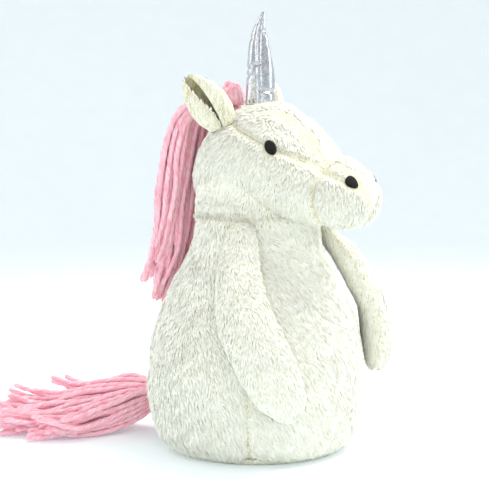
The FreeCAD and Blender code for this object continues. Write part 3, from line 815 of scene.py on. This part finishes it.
def ear_surface(sign, share, across, inset):
    """across runs 0 to 1 from one edge of the leaf to the other. The angle round the section
    starts at the gap, which widens towards the tip, and the edges curl in beside it."""
    side, ahead, height, wide, thick = np.moveaxis(through(EAR, share[:, 0]), -1, 0)
    line = xyz(sign * side, -ahead, height)
    along = unit(np.gradient(line, axis=0))
    face = unit(EAR_FACE * (sign, 1, 1))
    breadth = unit(np.cross(along, face))
    front = np.cross(breadth, along)
    front = front * np.sign((front * face).sum(-1, keepdims=True))
    gap = 0.06 + 0.62 * np.clip(share, 0, 1) ** 2
    angle = gap + across * (2 * np.pi - 2 * gap)
    near_edge = np.exp(-((np.minimum(across, 1 - across)) / 0.07) ** 2)
    deep = np.maximum(thick[:, None] - inset, 0.2) * (1 - 0.45 * near_edge)
    broad = np.maximum(wide[:, None] - inset, 0.3)
    return (line[:, None] + breadth[:, None] * (broad * np.sin(angle))[..., None]
            + front[:, None] * (deep * np.cos(angle))[..., None]), line


LINING_INSET = 1.3
share, across = lattice(np.linspace(0, 1, 46), np.linspace(0, 1, 66))
for number, (side, sign) in enumerate((("right", -1), ("left", 1))):
    outer, line = ear_surface(sign, share, across, 0)
    inner, line = ear_surface(sign, share, across, LINING_INSET)
    normal = grid_normals(outer, outer - line[:, None])
    back = shell(f"{side}_ear_back_cloth", outer, normal, 0.9, plush_cloth_painted_shade)
    back_pile = pile(f"{side}_ear_back_pile", outer, normal, lambda points: -DOWN,
                     seed=70 + number, long=2.6, rise=0.07)
    lining = shell(f"{side}_ear_lining_cloth", inner, grid_normals(inner, inner - line[:, None]),
                   0.8, ear_lining)
    carry(back, f"{side}_ear", "plush", f"{side}_ear_back_panel")
    carry(back_pile, f"{side}_ear", "plush")
    carry(lining, f"{side}_ear", "ear_lining", f"{side}_ear_lining")
    print(side, "ear tufts", len(back_pile.data.vertices) // 5)

# %% [markdown]
# ## The horn
# A stuffed cone of silver lame, a thin cloth with a metal face. Where a narrow cloth cone is
# turned right side out it keeps creases, mostly across it and most near the bent tip, and its one
# seam runs up the side. The creases are made in the surface, since they catch the light, and the
# fine weave in the material.

# %% Horn
HORN = [(3.4, 236.6, 10.2), (3.4, 246, 9.8), (3, 257, 9.4), (2.4, 268, 8.3), (2.1, 279, 6.6),
        (2.6, 288, 4.4), (4.2, 295, 2.6), (5.6, 298.7, 1.2), (5.8, 299.5, 0.05)]


def horn_surface(share, turn):
    """Circles up a bent line. Their radius takes slanting creases, each a cosine of height and
    angle raised to a sharp fold, and one sewn valley up the side."""
    ahead, height, radius = np.moveaxis(through(HORN, share), -1, 0)
    crease = np.zeros_like(share)
    rng = np.random.default_rng(5)
    for place in (247, 256, 263, 270, 275, 281, 285, 288.5, 292, 295):
        slant, phase = rng.uniform(-2.5, 2.5), rng.uniform(0, 6.3)
        span = np.clip(np.cos(turn - phase) + 0.35, 0, 1)
        crease += span * dip(height - place - slant * np.sin(turn), 1.0, 1.3)
    flute = 0.35 * np.sin(3 * turn + height / 9) + 0.2 * np.sin(7 * turn - height / 14)
    seam = dip(np.sin((turn - 3.6) / 2) * 2 * radius, 0.9, 0.8)
    shaped = radius * (1 - 0.11 * crease) + (flute - seam) * np.clip(radius / 9, 0, 1)
    return xyz(shaped * np.cos(turn), -ahead + shaped * np.sin(turn), height)


def silver_cloth():
    material, tree, shader = nodes_of("silver_cloth")
    link = tree.links.new
    weave = add_node(tree, "Group", node_tree=fibre_group)
    give(weave, Light=(*linear(226, 227, 230), 1), Dark=(*linear(150, 152, 158), 1),
         Stretch=(1500, 1500, 1500))
    link(add_node(tree, "TexCoord").outputs["Object"], weave.inputs["Vector"])
    bump, rough = add_node(tree, "Bump"), add_node(tree, "MapRange")
    give(bump, Strength=0.35, Distance=0.12 * mm)
    give(rough, To_Min=0.28, To_Max=0.16)
    link(weave.outputs["Height"], bump.inputs["Height"])
    link(weave.outputs["Height"], rough.inputs["Value"])
    link(weave.outputs["Color"], shader.inputs["Base Color"])
    link(rough.outputs["Result"], shader.inputs["Roughness"])
    link(bump.outputs["Normal"], shader.inputs["Normal"])
    give(shader, Metallic=1.0)
    return material


share, turn = lattice(np.linspace(0, 1, 160), np.linspace(0, 2 * np.pi, 73))
grid = horn_surface(share, turn)
axis = through(HORN, share[:, 0])
axis = xyz(0, -axis[:, 0], axis[:, 1])
horn_cover = shell("horn_cover_cloth", grid, grid_normals(grid, grid - axis[:, None]), 0.4,
                   silver_cloth(), pointed=True)
carry(horn_cover, "horn", "silver_cloth", "horn_cover")
print("horn vertices", len(horn_cover.data.vertices))

# %% [markdown]
# ## Thread: eyes, nostrils and seams
# The eyes and nostrils are satin stitch, flat threads laid side by side until they fill an oval.
# One domed patch with a ridge for each thread does it, pressed onto the head's own surface. The
# sewn seams are rows of short stitches, and each stitch is one small bent rod.

# %% Satin stitch
black_thread = fibre("black_thread", (34, 32, 30), (8, 8, 8), (1800, 1800, 260), 0.15, sheen=0.1)
cream_thread = fibre("cream_thread", (240, 236, 216), (196, 188, 158), (2200, 2200, 500), 0.15)


THREAD_STEP = 0.7


def satin_patch(name, ahead, turn, wide, high, lean):
    """A disc of rings round one point of the head. Each ring's points step that far over the
    surface, and rise as a dome with a ridge for every THREAD_STEP mm across the patch."""
    out, round_ = lattice(np.linspace(0, 1, 26), np.linspace(0, 2 * np.pi, 73))
    across, up = wide * out * np.cos(round_), high * out * np.sin(round_)
    across, up = (across * np.cos(lean) + up * np.sin(lean),
                  up * np.cos(lean) - across * np.sin(lean))
    half, broad = head_oval(ahead)[1:]
    step = np.hypot(broad * np.sin(turn), half * np.cos(turn))
    way = -1 if np.cos(turn) < 0 else 1
    base = head_smooth(ahead + across, turn + way * up / step)
    normal = grid_normals(base[1:], base[1:] - HEAD_CORE)
    normal = np.concatenate([normal[:1], normal])
    normal[0] = unit(normal[1].mean(0))
    ridge = 0.16 * np.abs(np.sin(across * np.pi / THREAD_STEP + 0.6 * ripple(base, 8, 60)))
    dome = 1.7 * np.sqrt(np.clip(1 - out**2, 0, 1)) ** 0.7 + ridge * (1 - out**6) - 1.1
    return shell(name, base + normal * dome[..., None], normal, 0.5, black_thread)


for node, place in STITCHED.items():
    patch = satin_patch(node + "_thread", *place)
    carry(patch, "head", "black_thread", node)
print("satin patches", len(STITCHED))


# %% Rows of stitches
def stitches(name, centres, ways, ups, long, radius, body, node):
    """Each stitch is a rod of seven rings of six, bowed up in its middle and thin at its ends."""
    along, around = lattice(np.linspace(-1, 1, 7), np.linspace(0, 2 * np.pi, 7)[:-1])
    sides = np.cross(ups, ways)
    thin = radius * np.sqrt(np.clip(1.02 - along**4, 0, 1))
    bow = radius * 1.3 * (1 - along**2)
    parts = [ways[:, None, None] * (along * long / 2)[..., None],
             sides[:, None, None] * (thin * np.cos(around))[..., None],
             ups[:, None, None] * (thin * np.sin(around) + bow)[..., None]]
    points = (centres[:, None, None] + sum(parts)).reshape(-1, 3)
    rod = quads(7, 6, wrap=True)
    ends = np.array([[5, 4, 3, 2, 1, 0], [36, 37, 38, 39, 40, 41]])
    start = np.arange(len(centres))[:, None, None] * 42
    piece = build(name, points * mm, [(start + rod).reshape(-1, 4), (start + ends).reshape(-1, 6)],
                  [cream_thread])
    weld(piece, 1e-7)
    carry(piece, body, "thread", node)
    print(name, len(centres))


def ring_of(count, radius, height, centre=(0, 0)):
    """Places round a level ring, with the ways along it and out from it."""
    turn = np.linspace(0, 2 * np.pi, count, endpoint=False)
    out = xyz(np.cos(turn), np.sin(turn), 0)
    along = xyz(-np.sin(turn), np.cos(turn), 0)
    return out * radius + np.array([*centre, height]), along, out


centres, along, out = ring_of(64, 43.0, NECK_SEAM_HEIGHT)
stitches("neck_seam_stitches", centres, unit(DOWN * 0.8 + along * 0.6), out, 3.6, 0.35,
         "neck", "neck_seam_thread")
centres, along, out = ring_of(96, 62.4, 4.2)
stitches("base_seam_stitches", centres, along, out, 3.1, 0.4, "body", "base_seam_thread")
centres, along, out = ring_of(22, 10.2, 238.6, (0, -3.4))
stitches("horn_foot_stitches", centres, unit(DOWN + along * 0.35), out, 3.4, 0.4, "horn",
         "horn_stitching")
for side, stations, sign in (("right", RIGHT_ARM, -1), ("left", LEFT_ARM, 1)):
    line, across = arm_line(stations, sign, np.linspace(0, 1, 80))[:2]
    spread = np.linspace(-1, 1, 9)[:, None] * 6.5
    centres = line[2] + across[2] * spread + np.array([0, 0, 0.6])
    stitches(f"{side}_shoulder_stitches", centres, unit(DOWN + 0 * centres),
             unit(centres * (1, 1, 0)), 3.4, 0.35, f"{side}_arm", f"{side}_shoulder_stitching")

# %% [markdown]
# ## Yarn
# The mane, the forelock and the tail are lengths of soft acrylic yarn. A strand is a tube along
# its own line, and its section has three lobes, one for each ply, which turn as they go up the
# strand. The material reads the same turning coordinates, so its streaks wind round with the
# plies. Short stray fibres stand off each strand, because that halo is what makes yarn look soft.

# %% Strands
YARN_RADIUS = 1.75
pink_yarn = fibre("pink_yarn", (255, 220, 232), (255, 166, 182), (1.1, 1.1, 0.22), 0.35,
                  sheen=0.5, source="lay")
pink_fuzz = [plain(f"pink_fuzz_{n}", linear(*tint), 0.9, sheen=0.4)
             for n, tint in enumerate([(254, 188, 202), (255, 208, 220), (255, 226, 237)])]


def tubes(name, lines, radius, material, plies=3, pitch=9.0, around=12):
    """Tubes along lines, an array of strand, row and place. Radius times 1 plus 0.16 times the
    cosine of plies times the wound angle; both ends close to a point over the last rows."""
    count, rows = lines.shape[:2]
    along = unit(np.gradient(lines, axis=1))
    spread = np.ptp(lines, axis=(0, 1))
    aside = np.eye(3)[np.argmin(spread)]
    side = unit(np.cross(along, aside))
    up = np.cross(side, along)
    steps = np.linalg.norm(np.diff(lines, axis=1), axis=-1).cumsum(1)
    length = np.concatenate([np.zeros((count, 1)), steps], 1)[..., None]
    angle = np.linspace(0, 2 * np.pi, around, endpoint=False)
    wound = angle - 2 * np.pi * length / pitch / plies
    end = np.minimum(length, length[:, -1:] - length) / (radius * 1.2)
    closing = np.sqrt(np.clip(1 - (1 - np.clip(end, 0, 1)) ** 2, 0.002, 1))
    swell = radius * closing * (1 + 0.16 * np.cos(plies * wound))[..., :]
    points = (lines[:, :, None] + side[:, :, None] * (swell * np.cos(angle))[..., None]
              + up[:, :, None] * (swell * np.sin(angle))[..., None])
    one = quads(rows, around, wrap=True)
    caps = np.stack([np.arange(around)[::-1], (rows - 1) * around + np.arange(around)])
    start = np.arange(count)[:, None, None] * rows * around
    piece = build(name, points.reshape(-1, 3) * mm,
                  [(start + one).reshape(-1, 4), (start + caps).reshape(-1, around)], [material])
    shift = np.arange(count)[:, None, None] * 37.0
    lay = xyz(radius * np.cos(wound), radius * np.sin(wound), length + shift)
    store = piece.data.attributes.new("lay", "FLOAT_VECTOR", "POINT")
    store.data.foreach_set("vector", lay.astype(np.float32).ravel())
    return piece


def fuzz(name, lines, radius, per_mm, seed, long=2.6):
    """Stray fibres on strands: a random place on a random strand, leaning out and along."""
    rng = np.random.default_rng(seed)
    count, rows = lines.shape[:2]
    total = np.linalg.norm(np.diff(lines, axis=1), axis=-1).sum()
    number = int(total * per_mm)
    strand, row = rng.integers(0, count, number), rng.integers(1, rows - 1, number)
    along = unit(lines[strand, row + 1] - lines[strand, row - 1])
    out = rng.normal(size=(number, 3))
    out = unit(out - along * (out * along).sum(-1, keepdims=True))
    roots = (lines[strand, row] + out * radius * 0.85
             + along * rng.uniform(-1, 1, (number, 1)))
    ways = unit(along * rng.choice([-1, 1], (number, 1)) + 0.5 * rng.normal(size=(number, 3)))
    ways = unit(ways - out * (ways * out).sum(-1, keepdims=True))
    return spindles(name, roots, out, ways, long * rng.uniform(0.6, 1.3, number),
                    rng.uniform(0.06, 0.1, number), rng.uniform(0.15, 0.7, number),
                    rng.integers(0, 3, number), pink_fuzz)


def wander(lines, amount, size, seed):
    """Each strand strays from its line by soft ripples that start from nothing at its root."""
    grow = np.linspace(0, 1, lines.shape[1])[None, :, None] ** 0.7
    rng = np.random.default_rng(seed)
    own = lines + rng.uniform(-400, 400, (lines.shape[0], 1, 3))
    shift = xyz(*[ripple(own, size, seed + n, waves=4) for n in range(3)])
    return lines + shift * amount * grow


def yarn_piece(name, lines, node, body, seed):
    piece = tubes(name, lines, YARN_RADIUS, pink_yarn)
    halo = fuzz(name + "_fuzz", lines, YARN_RADIUS, 0.85, seed)
    carry(piece, body, "pink_yarn", node)
    carry(halo, body, "pink_yarn")


# %% [markdown]
# ## The mane
# Strands are sewn to a tape down the back of the head, stand up a little, and then fall behind
# the neck in five locks. Every strand keeps its own place inside its lock's oval section, so the
# locks have body, and its own length, so the ends are uneven.

# %% Mane
MANE = [(20, 232, 4), (36, 238.5, 5.5), (48, 226, 8), (54, 200, 9), (58, 170, 9),
        (62, 140, 8), (69, 112, 6), (76, 93, 3)]
MANE_TAPER = [0.45, 0.55, 0.8, 1.0, 1.08, 1.05, 0.9, 0.6]
MANE_LOCKS = [(-26, 5.2, 20), (-14.6, 5.4, 6), (-4.8, 5.4, 0), (4.8, 5.4, 10), (14.6, 5.4, 30)]
STRANDS_IN_MANE_LOCK = 18
MANE_BEND = 233


def disc_places(count, seed):
    """Even places in a disc: the square root of the share out, and the golden angle round."""
    rng = np.random.default_rng(seed)
    out = np.sqrt((np.arange(count) + 0.5) / count)
    turn = np.arange(count) * 2.39996 + rng.uniform(0, 6.3)
    return out * np.cos(turn), out * np.sin(turn), rng


for number, (side, wide, short) in enumerate(MANE_LOCKS):
    a, b, rng = disc_places(STRANDS_IN_MANE_LOCK, 80 + number)
    ends = rng.uniform(0.72, 1.0, STRANDS_IN_MANE_LOCK)
    ends[::4] = 1.0
    share = np.linspace(0, 1, 56)[None] * ends[:, None]
    station = through(MANE, share)
    taper = through(np.array(MANE_TAPER)[:, None], share)[..., 0]
    drop = (station[0, 0, 1] - MANE[-1][1] - short) / (station[0, 0, 1] - MANE[-1][1])
    height = station[..., 1]
    height = np.where(height < MANE_BEND, MANE_BEND - (MANE_BEND - height) * drop, height)
    spread = 0.5 + 0.5 * np.clip(share * 7 / 3, 0, 1)
    middle = xyz(side * spread, station[..., 0], height)
    along = unit(np.gradient(middle, axis=1))
    thick_way = np.cross(np.broadcast_to([1.0, 0, 0], along.shape), along)
    thick_way *= np.sign(thick_way[:, 35:36, 1:2])
    splay = rng.uniform(-0.4, 1, STRANDS_IN_MANE_LOCK)[:, None] ** 3 * 7 * share**3
    lines = middle + xyz(a[:, None] * wide * taper, 0, 0)
    lines = lines + thick_way * (b[:, None] * station[..., 2] * 0.9 + splay)[..., None]
    lines[:, :, 0] += (rng.uniform(-1, 1, STRANDS_IN_MANE_LOCK)[:, None] * 6) * share**2
    lines = wander(lines, 1.5, 46, 90 + number)
    yarn_piece(f"mane_lock_{number + 1}_yarn", lines, f"mane_lock_{number + 1}", "mane",
               100 + number)
print("mane strands", STRANDS_IN_MANE_LOCK * len(MANE_LOCKS))

# %% Mane tape
tape_cloth = fibre("tape_cloth", (244, 214, 218), (214, 168, 176), (1600, 300, 900), 0.2)
share, across = lattice(np.linspace(0, 0.3, 90), np.linspace(-1, 1, 24))
station = through(HEAD, share)
middle = xyz(0, -station[..., 0], station[..., 1])
out = np.cross(unit(np.gradient(middle, axis=0)), [1.0, 0, 0])
out = out * np.sign((out * (middle - HEAD_CORE)).sum(-1, keepdims=True))
ribs = 0.2 * np.abs(np.sin(np.arange(90) * 0.9))[:, None]
grid = middle + out * (0.5 + ribs - 0.5 * across**2)[..., None]
grid[..., 0] += 4.5 * across
tape = shell("mane_tape_strip", grid, out, 0.8, tape_cloth)
carry(tape, "head", "tape", "mane_tape")
print("tape vertices", len(tape.data.vertices))

# %% Forelock
FORELOCK_STRANDS = 34
a, b, rng = disc_places(FORELOCK_STRANDS, 120)
share = np.linspace(0, 1, 40)[None]
top = rng.uniform(11, 17.5, FORELOCK_STRANDS)[:, None] * (1 - 0.3 * np.hypot(a, b))[:, None]
rise = np.sin(np.pi * 0.68 * share) * top
lines = xyz(6.5 * a[:, None] * (1 + 0.5 * share**1.5),
            17.5 + 4.2 * b[:, None] * (1 + 0.6 * share) + 4.5 * share**2, 236.5 + rise)
lines = wander(lines, 0.8, 20, 121)
yarn_piece("forelock_yarn", lines, "forelock", "head", 122)

# %% [markdown]
# ## The tail
# The same yarn, gathered and whipped with thread where it leaves the body. It arches a little
# and then lies on the floor, fanned to one side, and some ends curl up. Every strand is kept a
# yarn's radius above the floor.

# %% Tail
TAIL_SHAPE = [(0, 1.2, 4), (0.2, 4.5, 12), (0.4, 8, 13), (0.6, 10, 10), (0.8, 10, 7), (1, 7, 5)]
TAIL_LOCKS = [(4, 100, 18), (18, 124, 10), (32, 132, 2), (46, 126, 0.4), (61, 104, 0.4)]
TAIL_BACK, TAIL_HEIGHT = 82.2, 25.0
STRANDS_IN_TAIL_LOCK = 17

for number, (turn, length, rise) in enumerate(TAIL_LOCKS):
    a, b, rng = disc_places(STRANDS_IN_TAIL_LOCK, 130 + number)
    ends = rng.uniform(0.78, 1.04, STRANDS_IN_TAIL_LOCK)[:, None]
    share = np.linspace(0, 1, 56)[None] * ends
    station = through(TAIL_SHAPE, share)
    wide, thick = station[..., 1], station[..., 2]
    reach = share * (length + 2)
    fall = 0.5 - 0.5 * np.cos(np.pi * np.clip(share * 2.2, 0, 1))
    height = TAIL_HEIGHT * (1 - fall) + (rise * 0.6 + thick) * fall
    turn = np.radians(turn) + rng.normal(size=(STRANDS_IN_TAIL_LOCK, 1)) * 0.07 * share
    fan = (2 - number) * 1.5 * (1 - share)
    lines = xyz(fan - np.sin(turn) * reach + np.cos(turn) * a[:, None] * wide,
                TAIL_BACK + np.cos(turn) * reach + np.sin(turn) * a[:, None] * wide,
                height + b[:, None] * thick * (1 - 0.25 * share))
    curl = np.where(rng.random((STRANDS_IN_TAIL_LOCK, 1)) < 0.3,
                    rng.uniform(8, 24, (STRANDS_IN_TAIL_LOCK, 1)), 0.0)
    lines[..., 2] += curl * np.clip(share - 0.62, 0, 1) ** 1.5 * 3.2
    lines = wander(lines, 2.0, 55, 140 + number)
    low = YARN_RADIUS * 1.2
    lines[..., 2] = low + np.logaddexp(0, (lines[..., 2] - low) / 1.5) * 1.5
    yarn_piece(f"tail_lock_{number + 1}_yarn", lines, f"tail_lock_{number + 1}", "tail",
               150 + number)

# %% Tail root and its whipping
ROOT_STRANDS, WHIPPING_TURNS = 17, 5
WHIPPING_RADIUS = 5.6
a, b = disc_places(ROOT_STRANDS, 160)[:2]
share = np.linspace(0, 1, 10)[None]
lines = xyz(3.3 * a[:, None], 73.5 + 8.6 * share, TAIL_HEIGHT + 3.3 * b[:, None])
root = tubes("tail_root_yarn", lines, 1.2, pink_yarn)
carry(root, "tail_root", "pink_yarn", "tail_yarn_root")
turn = np.linspace(0, 2 * np.pi * WHIPPING_TURNS, 260)[None]
lines = xyz(WHIPPING_RADIUS * np.cos(turn), 76.9 + 4.0 * turn / turn.max(),
            TAIL_HEIGHT + WHIPPING_RADIUS * np.sin(turn))
whipping = tubes("tail_whipping", lines, 0.62, cream_thread, plies=2, pitch=3.0)
carry(whipping, "tail_root", "thread", "tail_binding")
print("tail root strands", ROOT_STRANDS, "whipping turns", WHIPPING_TURNS)

# %% [markdown]
# ## What is inside
# The filling, the pellets and their bag have to lie inside the cloth, which every seam draws in.
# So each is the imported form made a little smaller, with a finish of its own: matted fibre, a
# plain weave and round beads.

# %% Inside finishes
stuffing = fibre("stuffing_fibre", (250, 250, 248), (226, 226, 222), (260, 260, 260), 0.8)
bag_cloth = fibre("bag_weave", (236, 234, 226), (206, 203, 192), (1500, 1500, 400), 0.2)


def beads_with_painted_shade():
    """Round cells as a bump and a painted shade: pale where a bead stands out, painted darker
    between beads.
    """
    material, tree, shader = nodes_of("pellet_beads_painted_shade")
    link = tree.links.new
    beads, bump = add_node(tree, "TexVoronoi"), add_node(tree, "Bump", invert=True)
    give(beads, Scale=280)
    give(bump, Distance=1.2 * mm)
    link(add_node(tree, "TexCoord").outputs["Object"], beads.inputs["Vector"])
    link(beads.outputs["Distance"], bump.inputs["Height"])
    link(bump.outputs["Normal"], shader.inputs["Normal"])
    # Painted shade: the colour darkens towards the gaps between the beads.
    shade = add_node(tree, "Mix", data_type="RGBA")
    give(shade, A=(0.9, 0.9, 0.87, 1), B=(0.6, 0.6, 0.56, 1))
    link(beads.outputs["Distance"], shade.inputs["Factor"])
    link(shade.outputs["Result"], shader.inputs["Base Color"])
    give(shader, Roughness=0.45)
    return material


# %% Body filling, bag and pellets
DRAWN_IN = 4.4
DOME_LOWERED = 0.15


def drawn_in(node, material):
    """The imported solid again, every point nearer the upright axis: its radius loses DRAWN_IN, and
    near the axis a share of that. The dome over the neck is lowered by the share DOME_LOWERED."""
    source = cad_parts[node]
    mesh = source.data.copy()
    mesh.transform(source.matrix_world)
    mesh.materials.clear()
    mesh.materials.append(material)
    points = np.empty(len(mesh.vertices) * 3)
    mesh.vertices.foreach_get("co", points)
    points = points.reshape(-1, 3)
    radius = np.linalg.norm(points[:, :2], axis=1) / mm
    keep = 1 - DRAWN_IN * np.clip(radius / 30, 0, 1) / np.maximum(radius, 1)
    points[:, :2] *= keep[:, None]
    points[:, 2] -= DOME_LOWERED * np.maximum(points[:, 2] - NECK_HEIGHT * mm, 0)
    mesh.vertices.foreach_set("co", points.ravel())
    mesh.update()
    piece = bpy.data.objects.new(node + "_form", mesh)
    bpy.context.scene.collection.objects.link(piece)
    return piece


for node, material, slot in (("body_filling", stuffing, "stuffing"),
                             ("pellet_bag", bag_cloth, "bag_cloth"),
                             ("pellets", beads_with_painted_shade(), "pellets")):
    carry(drawn_in(node, material), "body", slot, node)


# %% Head, arm and horn fillings
# The head's stuffing is hollowed from below, as a socket for the ball of stuffing in the neck.
def closed_form(node, grid, body):
    """Stuffing as rings closed by a point at the middle of the first and of the last ring."""
    ends = [np.repeat(grid[n].mean(0)[None], grid.shape[1], 0) for n in (0, -1)]
    grid = np.concatenate([ends[0][None], grid, ends[1][None]])
    rows, columns = grid.shape[:2]
    form = build(node + "_form", grid.reshape(-1, 3) * mm, [quads(rows, columns, wrap=True)],
                 [stuffing])
    carry(weld(form), body, "stuffing", node)
    print(node, "vertices", len(form.data.vertices))


NECK_BALL, NECK_CENTRE = 54.8, 130.0
HEAD_DRAWN_IN = 3.4
FILLED = 0.7
round_turn = np.linspace(0, 2 * np.pi, 72, endpoint=False)
ahead, turn = lattice(np.linspace(-36, 86, 70), round_turn)
grid = head_surface(ahead, turn)
middle = grid.mean(1, keepdims=True)
size_of = np.linalg.norm(grid - middle, axis=-1, keepdims=True)
grid = middle + (grid - middle) * np.clip(1 - HEAD_DRAWN_IN / size_of, 0.3, 1)
radius = np.linalg.norm(grid[..., :2], axis=-1)
dome = NECK_CENTRE + np.sqrt(np.maximum(NECK_BALL**2 - radius**2, 0))
grid[..., 2] = np.where(radius < NECK_BALL, np.maximum(grid[..., 2], dome), grid[..., 2])
closed_form("head_filling", grid, "head")
share, angle = lattice(np.linspace(0.06, 0.95, 40), round_turn)
for side, stations, sign in (("right", RIGHT_ARM, -1), ("left", LEFT_ARM, 1)):
    grid = arm_surface(stations, sign, share, angle)
    middle = grid.mean(1, keepdims=True)
    closed_form(f"{side}_arm_filling", middle + FILLED * (grid - middle), f"{side}_arm")
share, turn = lattice(np.linspace(0.02, 0.93, 60), round_turn)
ahead, height, radius = np.moveaxis(through(HORN, share), -1, 0)
radius = FILLED * radius
grid = xyz(radius * np.cos(turn), radius * np.sin(turn) - ahead, height)
closed_form("horn_filling", grid, "horn")

# %% [markdown]
# ## The floor
# A shallow pale bowl: flat under the toy, and rising far away on every side, so that no edge or
# horizon shows from any angle.

# %% Floor
floor_finish = fibre("pale_floor", (243, 250, 252), (238, 246, 249), (30, 30, 30), 0.1, sheen=0.0)
give(floor_finish.node_tree.nodes["Principled BSDF"], Emission_Color=(0.9, 0.98, 1.0, 1),
     Emission_Strength=0.18)
out, turn = lattice(np.linspace(0, 1, 90), np.linspace(0, 2 * np.pi, 129))
FLOOR_RADIUS, WALL_FROM, WALL_HEIGHT = 3000, 1500, 1300
far = FLOOR_RADIUS * out
wall = WALL_HEIGHT * np.clip((far - WALL_FROM) / (FLOOR_RADIUS - WALL_FROM), 0, 1) ** 2.2
grid = xyz(far * np.cos(turn), far * np.sin(turn), wall)
floor = weld(build("studio_floor", grid.reshape(-1, 3) * mm, [quads(90, 129)], [floor_finish]))
if floor.data.polygons[0].normal.z < 0:
    floor.data.flip_normals()
floor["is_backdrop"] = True

# %% [markdown]
# ## Sizes
# The visual model's box is compared with the imported box: how far the model stands proud of it on
# each side is printed. The visual model may stand only a little proud of the imported box.

# %% Compare the boxes
visual_box = [list(corner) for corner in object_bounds()]
for axis_name, low, high, seen_low, seen_high in zip("xyz", *cad_box, *visual_box):
    print(axis_name, "proud by mm", round((low - seen_low) / mm, 1),
          round((seen_high - high) / mm, 1))
triangles = sum(len(p.vertices) - 2 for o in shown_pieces() for p in o.data.polygons)
print("triangles", triangles)
